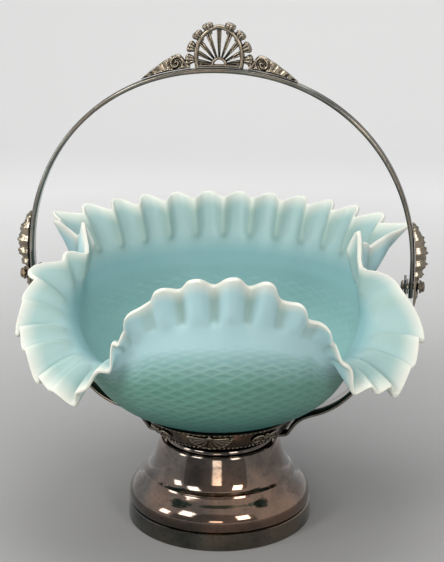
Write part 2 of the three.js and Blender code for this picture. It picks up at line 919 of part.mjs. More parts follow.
function wingGeometry() {
  const start = crestWidth / 2 + wingCrestGap;
  const base = (x) => outerHoopHeight(x) + 2 * seatGap;
  const shape = new THREE.Shape();
  shape.moveTo(start, base(start));
  for (let i = 1; i <= wingSteps; i += 1) {
    const x = start + (i / wingSteps) * wingSpan;
    shape.lineTo(x, base(x));
  }
  [...wingShares].reverse().forEach(([along, rise]) => {
    const x = start + along * wingSpan;
    shape.lineTo(x, base(x) + rise * wingRise);
  });
  const eye = new THREE.Shape();
  const eyeX = start + wingSpan * wingEyeShare;
  eye.absarc(eyeX, base(eyeX) + wingRise / 2, wingEyeRadius, 0, 2 * Math.PI);
  return cutBy(plate(shape, wingDepth), [plate(eye, wingDepth + overrun)]);
}

function addBail() {
  addPiece("bail", bailGeometry(), darkTarnish);
  addPiece("crest", crestGeometry(), castMetal);
  const wing = wingGeometry();
  addPiece("wing_right", wing, castMetal);
  addPiece("wing_left", mirroredX(wing), castMetal);
  const leaf = leafGeometry();
  addPiece("leaf_right", leaf, castMetal);
  addPiece("leaf_left", mirroredX(leaf), castMetal);
  const pin = pinGeometry();
  addPiece("pivot_pin_right", pin, brightMetal);
  addPiece("pivot_pin_left", mirroredX(pin), brightMetal);
  const washer = pivotWasher();
  addPiece("pivot_washer_right", washer, darkTarnish);
  addPiece("pivot_washer_left", mirroredX(washer), darkTarnish);
}

// Glass bowl: a round body whose crimped lip rises to the back and front,
// folds in at the two pivots and hangs down at the two front corners

// Azimuth in degrees from +X, then rim radius and rim height as shares of the sizes
const rimShares = [
  [0, 0.735, 0.97],
  [8, 0.889, 0.975],
  [20, 1.1, 0.985],
  [38, 1.026, 0.995],
  [62, 1.009, 0.998],
  [90, 1, 1],
  [118, 1.009, 0.998],
  [142, 1.026, 0.995],
  [161, 1.1, 0.987],
  [172, 0.889, 0.975],
  [180, 0.735, 0.97],
  [186, 0.889, 0.935],
  [192, 1.043, 0.886],
  [199, 1.145, 0.796],
  [207, 1.171, 0.706],
  [215, 1.137, 0.617],
  [222, 1.077, 0.567],
  [229, 1, 0.582],
  [234, 0.94, 0.662],
  [238, 0.923, 0.731],
  [243, 0.932, 0.786],
  [248, 0.949, 0.876],
  [256, 0.957, 0.945],
  [266, 0.966, 0.995],
  [280, 0.974, 1.01],
  [291, 0.957, 0.99],
  [302, 0.94, 0.915],
  [308, 0.94, 0.856],
  [314, 0.94, 0.826],
  [318, 0.94, 0.746],
  [321, 0.957, 0.687],
  [326, 1, 0.617],
  [331, 1.051, 0.577],
  [337, 1.137, 0.587],
  [342, 1.175, 0.63],
  [346, 1.19, 0.7],
  [350, 1.16, 0.78],
  [354, 1.02, 0.876],
];

// Rows of the lip as [place, crimp]: the crimps start sharply above the smooth body
const lipShares = [
  [0, 0],
  [0.36, 0.04],
  [0.55, 0.62],
  [0.78, 0.85],
  [1, 1],
];
const lipRows = lipShares.length - 1;

// Place and crimp shares at a row of the lip
function lipAt(row) {
  const low = Math.min(Math.floor(row), lipRows - 1);
  const [from, to] = [lipShares[low], lipShares[low + 1]];
  return [0, 1].map((column) => THREE.MathUtils.lerp(from[column], to[column], row - low));
}

// Smooth value of a column of the rim table at an azimuth in degrees
function rimShare(azimuth, column) {
  const count = rimShares.length;
  const turn = ((azimuth % 360) + 360) % 360;
  let index = rimShares.findLastIndex(([at]) => at <= turn);
  if (index < 0) index = count - 1;
  const pick = (i) => {
    const wrapped = (i + count) % count;
    const lap = Math.floor(i / count) * 360;
    return [rimShares[wrapped][0] + lap, rimShares[wrapped][column]];
  };
  const [before, from, to, after] = [-1, 0, 1, 2].map((step) => pick(index + step));
  const slopeFrom = (to[1] - before[1]) / (to[0] - before[0]);
  const slopeTo = (after[1] - from[1]) / (after[0] - from[0]);
  const span = to[0] - from[0];
  const t = (turn - from[0]) / span;
  const t2 = t * t;
  const t3 = t2 * t;
  return (
    (2 * t3 - 3 * t2 + 1) * from[1] +
    (t3 - 2 * t2 + t) * span * slopeFrom +
    (3 * t2 - 2 * t3) * to[1] +
    (t3 - t2) * span * slopeTo
  );
}

// Middle surface of the lip without its crimps: 0 at the body, 1 at the rim
function lipPoint(azimuth, share) {
  const radius = rimRadius * rimShare(azimuth, 1);
  const height = rimHeight * rimShare(azimuth, 2);
  const dip = (rimHeight - height) * dipFollowShare;
  const fromRadius = bowlBodyRadius - glassWall / 2 - dip * dipInsetShare;
  const fromHeight = bowlBodyHeight - dip;
  const rise = Math.max(height - fromHeight, 0);
  const bendRadius = fromRadius + (radius - fromRadius) * lipBendShare;
  const bendHeight = fromHeight + rise * lipBendHeightShare + dip * dipBendShare;
  const a = (1 - share) * (1 - share);
  const b = 2 * share * (1 - share);
  const c = share * share;
  return [a * fromRadius + b * bendRadius + c * radius, a * fromHeight + b * bendHeight + c * height];
}

// Radius and height on the middle surface; the row runs from the seat to the rim
function bowlMiddle(azimuth, row) {
  const body = bodyLine();
  const bodyRows = body.length - 1;
  if (row >= bodyRows) return lipPoint(azimuth, lipAt(row - bodyRows)[0]);
  const low = Math.floor(row);
  const mix = row - low;
  const [fromRadius, fromHeight] = body[low];
  const [toRadius, toHeight] = body[low + 1];
  const radius = THREE.MathUtils.lerp(fromRadius, toRadius, mix);
  const height = THREE.MathUtils.lerp(fromHeight, toHeight, mix);
  const up = (height - glassFloor) / (bowlBodyHeight - glassFloor);
  const [topRadius, topHeight] = lipPoint(azimuth, 0);
  const radiusShift = topRadius - (bowlBodyRadius - glassWall / 2);
  const heightShift = topHeight - bowlBodyHeight;
  const follow = up * up;
  const raised = (glassWall / 2) * (1 - up);
  return [radius - glassWall / 2 + radiusShift * follow, height + raised + heightShift * follow];
}

// Wave of the crimps round the rim: wide scallops outwards at 1, narrow creases inwards at -1
function crimpWave(turn) {
  const crease = (1 - Math.cos(turn * crimpCount)) / 2;
  return 1 - 2 * Math.pow(crease, crimpSharpness);
}

// Point of the outer or inner face, with the crimps growing towards the rim
function bowlPoint(azimuth, row, face) {
  const bodyRows = bodyLine().length - 1;
  const [radius, height] = bowlMiddle(azimuth, row);
  const before = bowlMiddle(azimuth, Math.max(row - rowProbe, 0));
  const after = bowlMiddle(azimuth, Math.min(row + rowProbe, bodyRows + lipRows));
  const along = new THREE.Vector2(after[0] - before[0], after[1] - before[1]).normalize();
  const turn = THREE.MathUtils.degToRad(azimuth);
  const growth = row > bodyRows ? lipAt(row - bodyRows)[1] : 0;
  const wave = crimpWave(turn) * growth;
  const front = (1 - Math.sin(turn)) / 2;
  const lift = wave * crimpLift * Math.max(along.y, 0) * (1 + front);
  const shift = wave * crimpDepth + (face * glassWall) / 2;
  const outward = radius + along.y * shift;
  const upward = height - along.x * shift + lift;
  return [outward * Math.cos(turn), outward * Math.sin(turn), upward];
}

// Faces between a ring of points and the next, which has as many points or a whole multiple
function stitchRings(faces, coarse, fine, flipped) {
  const ratio = fine.count / coarse.count;
  const push = (a, b, c) => (flipped ? faces.push(a, c, b) : faces.push(a, b, c));
  for (let i = 0; i < coarse.count; i += 1) {
    const a = coarse.start + i;
    const b = coarse.start + ((i + 1) % coarse.count);
    const at = (step) => fine.start + ((i * ratio + step) % fine.count);
    for (let step = 0; step < ratio; step += 1) {
      const nearer = step * 2 < ratio ? a : b;
      if (nearer === b && (step - 1) * 2 < ratio) push(a, b, at(step));
      push(nearer, at(step + 1), at(step));
    }
    if (ratio === 1) push(a, b, at(1));
  }
}

function bowlGeometry() {
  const bodyRows = bodyLine().length - 1;
  const rows = bodyRows + lipRows;
  const columns = crimpCount * crimpColumns;
  const positions = [0, 0, glassFloor];
  const rings = [];
  const addRing = (row, face) => {
    const count = row > bodyRows ? columns : columns / bodyThinning;
    rings.push({ start: positions.length / 3, count });
    for (let i = 0; i < count; i += 1) positions.push(...bowlPoint((i * 360) / count, row, face));
  };
  for (let row = 0; row <= rows; row += 1) addRing(row, 1);
  for (let row = rows; row >= 0; row -= 1) addRing(row, -1);
  const insidePole = positions.length / 3;
  positions.push(0, 0, glassFloor + glassWall);
  const faces = [];
  for (let i = 0; i + 1 < rings.length; i += 1) {
    const [lower, upper] = [rings[i], rings[i + 1]];
    if (lower.count > upper.count) stitchRings(faces, upper, lower, true);
    else stitchRings(faces, lower, upper, false);
  }
  const [first, last] = [rings[0], rings.at(-1)];
  for (let i = 0; i < first.count; i += 1) {
    const next = (i + 1) % first.count;
    faces.push(0, first.start + next, first.start + i);
    faces.push(insidePole, last.start + i, last.start + next);
  }
  const geometry = new THREE.BufferGeometry();
  geometry.setAttribute("position", new THREE.Float32BufferAttribute(positions, 3));
  geometry.setIndex(faces);
  return facingOut(geometry);
}

addFoot();
addDrum();
addCentreBolt();
addCup();
addBorder();
addStraps();
addBail();
addPiece("glass_bowl", bowlGeometry(), satinGlass);

export default basket;
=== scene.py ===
"""Looks of the brides basket: the plated stand, its castings and the crimped glass bowl.

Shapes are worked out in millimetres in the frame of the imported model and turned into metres
when a mesh is made.
"""

import logging
import math
from dataclasses import dataclass, field
from enum import Enum
from typing import Callable, Sequence

import bmesh
import bpy
import numpy as np
from mathutils import Matrix, Vector


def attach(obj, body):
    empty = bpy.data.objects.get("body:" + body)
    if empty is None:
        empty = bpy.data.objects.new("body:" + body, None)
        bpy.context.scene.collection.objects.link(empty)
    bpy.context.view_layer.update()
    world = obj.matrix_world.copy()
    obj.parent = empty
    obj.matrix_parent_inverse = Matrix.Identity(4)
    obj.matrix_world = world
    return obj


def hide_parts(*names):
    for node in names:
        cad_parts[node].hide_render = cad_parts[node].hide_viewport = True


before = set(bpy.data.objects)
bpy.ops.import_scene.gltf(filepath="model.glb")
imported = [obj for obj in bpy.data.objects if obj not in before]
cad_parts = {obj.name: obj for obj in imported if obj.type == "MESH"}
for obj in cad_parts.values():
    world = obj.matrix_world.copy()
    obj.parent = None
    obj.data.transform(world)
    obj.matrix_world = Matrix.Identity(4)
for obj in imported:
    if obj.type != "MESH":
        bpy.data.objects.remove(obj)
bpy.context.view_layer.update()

log = logging.getLogger("basket")

# A millimetre and the distance at which points are one, both in metres
MM = 0.001
WELD = 1e-7
# Millimetres: play between parts that touch, radius of the bore for the bolt, and the least
# length of a stretch that a smooth line is divided by
SEAT_GAP = 0.3
BORE_RADIUS = 3.25
LEAST_STRETCH = 1e-6
IMAGE_WIDTH = 444
IMAGE_HEIGHT = 562
WHITE = (1.0, 1.0, 1.0)
Point2 = tuple[float, float]
Colour = tuple[float, float, float]
Table = tuple[tuple[float, ...], ...]


class Body(Enum):
    """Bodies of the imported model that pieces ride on."""

    STAND = "stand"
    HANDLE = "handle"
    BOWL = "bowl"


class Slot(Enum):
    """Material slots of the record."""

    PLATE = "tarnished_plate"
    DARK = "dark_plate"
    CAST = "cast_plate"
    BRIGHT = "bright_plate"
    GLASS = "satin_glass"


# Mesh helpers


@dataclass
class Shell:
    """A surface as points in millimetres and faces."""

    points: np.ndarray
    faces: list[list[int]]

    def moved(self, move: Callable[[np.ndarray], np.ndarray]) -> "Shell":
        """The surface with its array of points passed through a function."""
        return Shell(move(self.points), self.faces)

    @staticmethod
    def merged(shells: Sequence["Shell"]) -> "Shell":
        """Puts several surfaces into one.

        Args:
            shells: Surfaces to put together.

        Returns:
            The common surface.
        """
        faces: list[list[int]] = []
        start = 0
        for shell in shells:
            faces += [[start + i for i in face] for face in shell.faces]
            start += len(shell.points)
        return Shell(np.vstack([shell.points for shell in shells]), faces)

    def made(self, name: str, crisp: float = 50.0) -> bpy.types.Object:
        """Makes a smooth object that keeps its sharpest edges.

        Args:
            name: Name of the object and its mesh.
            crisp: Smallest angle in degrees between faces that stays crisp.

        Returns:
            The new object, linked to the scene.
        """
        mesh = bpy.data.meshes.new(name)
        mesh.from_pydata((self.points * MM).tolist(), [], self.faces)
        work = bmesh.new()
        work.from_mesh(mesh)
        bmesh.ops.remove_doubles(work, verts=work.verts, dist=WELD)
        bmesh.ops.recalc_face_normals(work, faces=work.faces)
        limit = math.radians(crisp)
        for face in work.faces:
            face.smooth = True
        for edge in work.edges:
            if len(edge.link_faces) == 2 and edge.calc_face_angle(0.0) > limit:
                edge.smooth = False
        work.to_mesh(mesh)
        work.free()
        piece = bpy.data.objects.new(name, mesh)
        bpy.context.scene.collection.objects.link(piece)
        return piece


def full_turn(count: int) -> np.ndarray:
    """Angles of equal steps round a circle.

    Args:
        count: Number of steps.

    Returns:
        The angles in radians.
    """
    return np.arange(count) * 2 * math.pi / count


def grid(x: np.ndarray, y: np.ndarray | float, z: np.ndarray) -> np.ndarray:
    """Makes rows and columns of points from arrays that stretch to one shape.

    Args:
        x: Distances along x.
        y: Distances along y, or one for all points.
        z: Heights.

    Returns:
        The points, with their three numbers last.
    """
    return np.stack(np.broadcast_arrays(x, y, z), axis=2)


def directions(line: np.ndarray) -> np.ndarray:
    """Directions of a line.

    Args:
        line: Rows of x and z.

    Returns:
        The unit direction at each point.
    """
    along = np.gradient(line, axis=0)
    return along / np.linalg.norm(along, axis=1)[:, None]


def right_normals(line: Sequence[Point2]) -> np.ndarray:
    """Unit normals on the right of an open line.

    Args:
        line: Points of the line.

    Returns:
        A row for each point, across the way between its neighbours.
    """
    points = np.array(line, dtype=float)
    along = np.vstack([points[1:], points[-1:]]) - np.vstack([points[:1], points[:-1]])
    along /= np.linalg.norm(along, axis=1)[:, None]
    return np.stack([along[:, 1], -along[:, 0]], axis=1)


def way_along(line: Sequence[Point2]) -> np.ndarray:
    """Lengths along a line.

    Args:
        line: Points of the line.

    Returns:
        The way from its start to each point.
    """
    steps = np.linalg.norm(np.diff(np.array(line), axis=0), axis=1)
    return np.concatenate([[0], np.cumsum(steps)])


def hermite(
    t: float | np.ndarray, start: np.ndarray, leave: np.ndarray, end: np.ndarray, arrive: np.ndarray
) -> np.ndarray:
    """Cubic between two values.

    Args:
        t: Share of the way, from 0 to 1.
        start: Value at the start.
        leave: Slope at the start, over the whole way.
        end: Value at the end.
        arrive: Slope at the end, over the whole way.

    Returns:
        The value there.
    """
    return (
        (2 * t**3 - 3 * t**2 + 1) * start
        + (t**3 - 2 * t**2 + t) * leave
        + (3 * t**2 - 2 * t**3) * end
        + (t**3 - t**2) * arrive
    )


def ring_faces(rings: int, count: int, closed: bool = False) -> list[list[int]]:
    """Faces between rings of points that follow each other.

    Args:
        rings: Number of rings.
        count: Points in each ring.
        closed: Whether the last ring joins the first.

    Returns:
        The faces as vertex numbers.
    """
    faces = []
    for row in range(rings if closed else rings - 1):
        low = row * count
        high = ((row + 1) % rings) * count
        for i in range(count):
            j = (i + 1) % count
            faces.append([low + i, low + j, high + j, high + i])
    return faces


def lofted(rings: Sequence[np.ndarray]) -> Shell:
    """Skins rings of points and closes both ends.

    Args:
        rings: Rings of x, y and z, all with as many points.

    Returns:
        The surface.
    """
    count = len(rings[0])
    faces = ring_faces(len(rings), count)
    faces.append(list(range(count)))
    faces.append([(len(rings) - 1) * count + i for i in range(count)])
    return Shell(np.array(rings, dtype=float).reshape(-1, 3), faces)


def turned(outline: Sequence[Point2], segments: int = 144) -> Shell:
    """Revolves a closed outline about the vertical axis.

    Args:
        outline: Radius and height of each point, in order round the section.
        segments: Steps round the axis.

    Returns:
        The surface.
    """
    section = np.array(outline, dtype=float)
    turn = full_turn(segments)[:, None]
    points = grid(np.cos(turn) * section[:, 0], np.sin(turn) * section[:, 0], section[:, 1])
    return Shell(points.reshape(-1, 3), ring_faces(segments, len(outline), closed=True))


def slab(front: np.ndarray, back: np.ndarray) -> Shell:
    """Closes two grids of points that face each other.

    Args:
        front: Rows and columns of points.
        back: As many points on the other side.

    Returns:
        The surface of the slab between them.
    """
    rows, columns = front.shape[:2]
    size = rows * columns
    faces = []
    for i in range(rows - 1):
        for j in range(columns - 1):
            a = i * columns + j
            face = [a, a + 1, a + columns + 1, a + columns]
            faces += [face, [size + k for k in reversed(face)]]
    border = [(0, j) for j in range(columns)]
    border += [(i, columns - 1) for i in range(1, rows)]
    border += [(rows - 1, j) for j in range(columns - 2, -1, -1)]
    border += [(i, 0) for i in range(rows - 2, 0, -1)]
    loop = [i * columns + j for i, j in border]
    for a, b in zip(loop, loop[1:] + loop[:1]):
        faces.append([b, a, size + a, size + b])
    return Shell(np.vstack([front.reshape(-1, 3), back.reshape(-1, 3)]), faces)


def planar_tube(
    line: np.ndarray, half_width: np.ndarray | float, half_depth: float, sides: int = 12
) -> Shell:
    """Sweeps a rounded section along a line in the plane y = 0.

    Args:
        line: Rows of x and z.
        half_width: Half width in the plane, for the whole line or for each point.
        half_depth: Half depth along y.
        sides: Points of the section.

    Returns:
        The surface.
    """
    along = directions(line)
    across = np.stack([-along[:, 1], along[:, 0]], axis=1)
    wide = np.broadcast_to(half_width, len(line))
    turn = full_turn(sides)
    rings = []
    for spot, side, half in zip(line, across, wide):
        reach = np.cos(turn)[:, None] * side * half
        depth = half_depth * np.sin(turn) * half / wide.max()
        rings.append(np.stack([spot[0] + reach[:, 0], depth, spot[1] + reach[:, 1]], axis=1))
    return lofted(rings)


def bead(centre: Sequence[float], radius: float, flat: float = 1.0, sides: int = 10) -> Shell:
    """A ball, which may be flattened along y.

    Args:
        centre: Position of its middle.
        radius: Radius in x and z.
        flat: Share of the radius that is left along y.
        sides: Steps round the ball.

    Returns:
        The surface.
    """
    pole = 0.08
    tilt = np.linspace(pole, math.pi - pole, sides // 2 + 1)[:, None]
    turn = full_turn(sides)
    rings = grid(np.cos(turn) * np.sin(tilt), np.sin(turn) * np.sin(tilt) * flat, np.cos(tilt))
    return lofted(list(np.array(centre) + radius * rings))


def smooth_line(points: Sequence[Point2], steps: int, corners: Sequence[int] = ()) -> list[Point2]:
    """Runs a smooth line through points, with corners left sharp.

    Args:
        points: Points of the line.
        steps: New points for each stretch.
        corners: Numbers of the points at which the line may turn sharply.

    Returns:
        The finer line.
    """
    line: list[Point2] = []
    last = len(points) - 1
    for i in range(last):
        p1, p2 = np.array(points[i]), np.array(points[i + 1])
        p0 = np.array(points[i - 1]) if i > 0 and i not in corners else p1 - (p2 - p1)
        p3 = np.array(points[i + 2]) if i + 1 < last and i + 1 not in corners else p2 + (p2 - p1)
        reach = np.linalg.norm(p2 - p1)
        before = max(np.linalg.norm(p1 - p0), LEAST_STRETCH)
        after = max(np.linalg.norm(p3 - p2), LEAST_STRETCH)
        m1 = ((p1 - p0) / before + (p2 - p1) / reach) / 2 * reach
        m2 = ((p2 - p1) / reach + (p3 - p2) / after) / 2 * reach
        for k in range(steps):
            spot = hermite(k / steps, p1, m1, p2, m2)
            line.append((float(spot[0]), float(spot[1])))
    line.append((float(points[last][0]), float(points[last][1])))
    return line


def between(shares: Sequence[Point2], start: Point2, end: Point2) -> list[Point2]:
    """Lays a table of shares between two ends.

    Args:
        shares: Shares of the way along both axes.
        start: Point at which both shares are 0.
        end: Point at which both shares are 1.

    Returns:
        The points.
    """
    wide, tall = end[0] - start[0], end[1] - start[1]
    return [(start[0] + wide * along, start[1] + tall * up) for along, up in shares]


def inset_line(line: Sequence[Point2], wall: float) -> list[Point2]:
    """Moves an open line of radius and height inwards.

    Args:
        line: Outer line from its lower to its upper end.
        wall: Distance.

    Returns:
        The inner line.
    """
    return [(float(r), float(z)) for r, z in np.array(line) - right_normals(line) * wall]


def mirrored(piece: bpy.types.Object, name: str) -> bpy.types.Object:
    """Copies a piece to the other side of the plane x = 0.

    Args:
        piece: Piece to copy.
        name: Name of the copy.

    Returns:
        The copy, facing out.
    """
    copy = piece.copy()
    copy.data = piece.data.copy()
    copy.name = name
    copy.data.name = name
    copy.data.transform(Matrix.Scale(-1, 4, (1, 0, 0)))
    copy.data.flip_normals()
    bpy.context.scene.collection.objects.link(copy)
    return copy


# Finishes


def fill(node: bpy.types.Node, values: dict[str, float | Sequence[float]]) -> None:
    """Sets inputs of a node.

    Args:
        node: Node to set.
        values: Numbers or colours by the name of the input.
    """
    for name, value in values.items():
        node.inputs[name].default_value = value


def background_rays(tree: bpy.types.NodeTree) -> bpy.types.NodeSocket:
    """Adds up the rays that see the pale background as the camera does.

    Args:
        tree: Nodes of a material or of the world.

    Returns:
        A socket that is 1 for rays of the camera and for those that metal or glass sends on.
    """
    path = tree.nodes.new("ShaderNodeLightPath")
    seen = path.outputs["Is Camera Ray"]
    for kind in ("Is Glossy Ray", "Is Transmission Ray"):
        both = tree.nodes.new("ShaderNodeMath")
        tree.links.new(seen, both.inputs[0])
        tree.links.new(path.outputs[kind], both.inputs[1])
        seen = both.outputs["Value"]
    return seen


class Graph:
    """Small helper that adds nodes to a material and links them."""

    def __init__(self, name: str) -> None:
        """Makes a node material with a Principled shader.

        Args:
            name: Name of the material.
        """
        self.material = bpy.data.materials.new(name)
        self.material.use_nodes = True
        self.tree = self.material.node_tree
        self.shader = self.tree.nodes["Principled BSDF"]

    def add(self, kind: str, **values: object) -> bpy.types.Node:
        """Adds a node and sets its properties.

        Args:
            kind: Type of the node.
            values: Properties by name.

        Returns:
            The node.
        """
        node = self.tree.nodes.new(kind)
        for key, value in values.items():
            setattr(node, key, value)
        return node

    def link(self, source: bpy.types.NodeSocket, target: bpy.types.NodeSocket) -> None:
        """Links an output to an input."""
        self.tree.links.new(source, target)

    def feed(self, name: str, source: bpy.types.NodeSocket) -> None:
        """Links an output to an input of the shader."""
        self.link(source, self.shader.inputs[name])

    def attribute(self, name: str) -> bpy.types.NodeSocket:
        """Reads a number that the mesh carries at its points."""
        return self.add("ShaderNodeAttribute", attribute_name=name).outputs["Fac"]

    def noise(self, scale: float, detail: float, roughness: float = 0.55) -> bpy.types.NodeSocket:
        """Adds a noise in object space.

        Args:
            scale: Waves in a metre.
            detail: Octaves.
            roughness: Strength of the finer octaves.

        Returns:
            The noise's value.
        """
        place = self.add("ShaderNodeTexCoord")
        noise = self.add("ShaderNodeTexNoise")
        fill(noise, {"Scale": scale, "Detail": detail, "Roughness": roughness})
        self.link(place.outputs["Object"], noise.inputs["Vector"])
        return noise.outputs["Fac"]

    def ramp(
        self, value: bpy.types.NodeSocket, stops: Sequence[tuple[float, Colour]]
    ) -> bpy.types.NodeSocket:
        """Colours a value by stops.

        Args:
            value: Socket with the value.
            stops: Position and colour of each stop.

        Returns:
            The colour socket.
        """
        node = self.add("ShaderNodeValToRGB")
        elements = node.color_ramp.elements
        while len(elements) < len(stops):
            elements.new(0.5)
        for element, (place, colour) in zip(elements, stops):
            element.position = place
            element.color = (*colour, 1.0)
        self.link(value, node.inputs["Fac"])
        return node.outputs["Color"]

    def remap(
        self, value: bpy.types.NodeSocket, low: float, high: float, to_low: float, to_high: float
    ) -> bpy.types.NodeSocket:
        """Maps a range of values to another and keeps to its ends.

        Args:
            value: Socket with the value.
            low: Value that becomes to_low.
            high: Value that becomes to_high.
            to_low: First end of the new range.
            to_high: Second end of the new range.

        Returns:
            The new value.
        """
        node = self.add("ShaderNodeMapRange")
        fill(node, {"From Min": low, "From Max": high, "To Min": to_low, "To Max": to_high})
        self.link(value, node.inputs["Value"])
        return node.outputs["Result"]

    def mix(
        self,
        share: bpy.types.NodeSocket | float,
        first: bpy.types.NodeSocket,
        second: bpy.types.NodeSocket | Colour,
        blend: str = "MIX",
    ) -> bpy.types.NodeSocket:
        """Mixes two colours by a share.

        Args:
            share: Share of the second colour, as a socket or a number.
            first: First colour.
            second: Second colour, as a socket or as numbers.
            blend: Way of mixing.

        Returns:
            The mixed colour.
        """
        node = self.add("ShaderNodeMix", data_type="RGBA", blend_type=blend)
        if isinstance(share, (int, float)):
            node.inputs["Factor"].default_value = share
        else:
            self.link(share, node.inputs["Factor"])
        self.link(first, node.inputs["A"])
        if isinstance(second, tuple):
            node.inputs["B"].default_value = (*second, 1.0)
        else:
            self.link(second, node.inputs["B"])
        return node.outputs["Result"]

    def maths(
        self, operation: str, first: bpy.types.NodeSocket, second: bpy.types.NodeSocket | float
    ) -> bpy.types.NodeSocket:
        """Works out one value from two.

        Args:
            operation: Name of the operation.
            first: First value.
            second: Second value, as a socket or a number.

        Returns:
            The result.
        """
        node = self.add("ShaderNodeMath", operation=operation)
        self.link(first, node.inputs[0])
        if isinstance(second, (int, float)):
            node.inputs[1].default_value = second
        else:
            self.link(second, node.inputs[1])
        return node.outputs[0]

    def bump(self, height: bpy.types.NodeSocket, distance: float, strength: float) -> None:
        """Bumps the surface by a height.

        Args:
            height: Socket with the height from 0 to 1.
            distance: Height of a full step in metres.
            strength: Share of the bump that shows.
        """
        node = self.add("ShaderNodeBump")
        fill(node, {"Distance": distance, "Strength": strength})
        self.link(height, node.inputs["Height"])
        self.feed("Normal", node.outputs["Normal"])
        self.feed("Coat Normal", node.outputs["Normal"])


@dataclass(frozen=True)
class PlateFinish:
    """Silver plate with tarnish that varies in broad clouds and fine specks."""

    name: str
    clean: Colour
    tarnish: Colour
    warm: Colour
    roughness: Point2
    cloud_scale: float = 26.0
    speck_scale: float = 420.0
    dent: float = 0.00012
    grime: Colour = (0.35, 0.3, 0.26)
    grime_share: float = 0.55
    coat: float = 0.5
    coat_roughness: float = 0.06

    def make(self) -> bpy.types.Material:
        """Builds the material.

        Returns:
            The node material.
        """
        graph = Graph(self.name)
        clouds = graph.noise(self.cloud_scale, 5.0, 0.6)
        tint = graph.noise(self.cloud_scale * 0.45, 3.0)
        specks = graph.noise(self.speck_scale, 3.0, 0.7)
        colour = graph.ramp(clouds, [(0.36, self.tarnish), (0.66, self.clean)])
        warm = graph.ramp(clouds, [(0.3, self.tarnish), (0.62, self.warm)])
        tinted = graph.mix(graph.remap(tint, 0.42, 0.6, 0.0, 1.0), colour, warm)
        worn = graph.ramp(specks, [(0.3, self.grime), (0.44, WHITE)])
        stained = graph.mix(self.grime_share, tinted, worn, "MULTIPLY")
        graph.feed("Base Color", stained)
        low, high = self.roughness
        graph.feed("Roughness", graph.remap(clouds, 0.35, 0.7, high, low))
        graph.bump(graph.noise(self.cloud_scale * 3.2, 3.0), self.dent, 0.3)
        coat = {"Coat Weight": self.coat, "Coat Roughness": self.coat_roughness}
        fill(graph.shader, {"Metallic": 1.0, **coat})
        return graph.material


@dataclass(frozen=True)
class CastFinish:
    """Cast relief: nearly black in its hollows and rubbed warm on its high points."""

    name: str
    hollow: Colour
    face: Colour
    rubbed: Colour
    roughness: float = 0.22
    rubbed_roughness: float = 0.143
    reach: float = 0.0022
    grain_scale: float = 900.0
    grain_share: float = 0.18
    grain_depth: float = 0.00025

    def make(self) -> bpy.types.Material:
        """Builds the material.

        Returns:
            The node material.
        """
        graph = Graph(self.name)
        shade = graph.add("ShaderNodeAmbientOcclusion", samples=8)
        shade.inputs["Distance"].default_value = self.reach
        grain = graph.noise(self.grain_scale, 3.0, 0.65)
        open_share = graph.remap(shade.outputs["AO"], 0.35, 0.95, 0.0, 1.0)
        speckle = graph.remap(grain, 0.3, 0.7, -self.grain_share, self.grain_share)
        mixed = graph.maths("ADD", open_share, speckle)
        colour = graph.ramp(mixed, [(0.1, self.hollow), (0.62, self.face), (0.95, self.rubbed)])
        graph.feed("Base Color", colour)
        rough = graph.remap(grain, 0.3, 0.7, self.roughness, self.rubbed_roughness)
        graph.feed("Roughness", rough)
        graph.bump(grain, self.grain_depth, 0.5)
        fill(graph.shader, {"Metallic": 1.0})
        return graph.material


@dataclass(frozen=True)
class GlassFinish:
    """Satin opalescent glass: aqua inside, greener outside, frosted white at the rim."""

    name: str
    inside: Colour
    wall: Colour
    lip: Colour
    arch: Colour
    # Painted shade: colour that the pleats of the crimps are darkened towards
    pleat_shade: Colour
    # body and seat: the glass's greener body, darker towards the seat partly as painted shade of
    # the bottom that faces down
    body: Colour
    seat: Colour
    rim: Colour
    milk: Colour = (0.93, 0.95, 0.95)
    # Painted shade in the cells of the quilting and painted highlight on its raised lines
    diamond_shade: Colour = (0.78, 0.86, 0.86)
    net: Colour = (1.04, 1.02, 1.02)
    cloud_scale: float = 18.0
    roughness: Point2 = (0.4, 0.52)
    grain_scale: float = 1600.0
    grain_depth: float = 0.00003

    def make(self) -> bpy.types.Material:
        """Builds the material from the numbers that the bowl carries at its points.

        Returns:
            The node material.
        """
        graph = Graph(self.name)
        lip = graph.attribute("lip")
        # Outside: darker towards the seat, partly the glass's own greener body and partly painted
        # shade of the bottom that faces down and gets less light
        low = [(0.0, self.seat), (0.2, self.seat), (0.34, self.body), (0.42, self.body)]
        outside = graph.ramp(lip, [*low, (0.58, self.arch)])
        high = [(0.62, self.wall), (0.76, self.lip)]
        inside = graph.ramp(lip, [(0.0, self.inside), (0.4, self.inside), *high])
        colour = graph.mix(graph.attribute("inner"), outside, inside)
        # Painted shade in the pleats of the crimps
        colour = graph.mix(graph.attribute("fold_shade"), colour, self.pleat_shade)
        milky = graph.ramp(graph.noise(self.cloud_scale, 3.0), [(0.3, self.milk), (0.7, WHITE)])
        colour = graph.mix(1.0, colour, milky, "MULTIPLY")
        # The quilting's cells are darkened as painted shade and its raised lines lifted as painted
        # highlight
        net = graph.ramp(graph.attribute("quilt_shading"), [(0.0, self.diamond_shade), (0.8, self.net)])
        colour = graph.mix(1.0, colour, net, "MULTIPLY")
        edge = graph.maths("POWER", graph.attribute("rim"), 1.2)
        graph.feed("Base Color", graph.mix(edge, colour, self.rim))
        grain = graph.noise(self.grain_scale, 2.0)
        graph.feed("Roughness", graph.remap(grain, 0.3, 0.7, *self.roughness))
        graph.bump(grain, self.grain_depth, 0.4)
        fill(graph.shader, {"Subsurface Weight": 0.4, "Subsurface Scale": 0.005})
        fill(graph.shader, {"Subsurface Radius": (0.8, 1.0, 1.0), "IOR": 1.5})
        fill(graph.shader, {"Specular IOR Level": 0.35})
        return graph.material


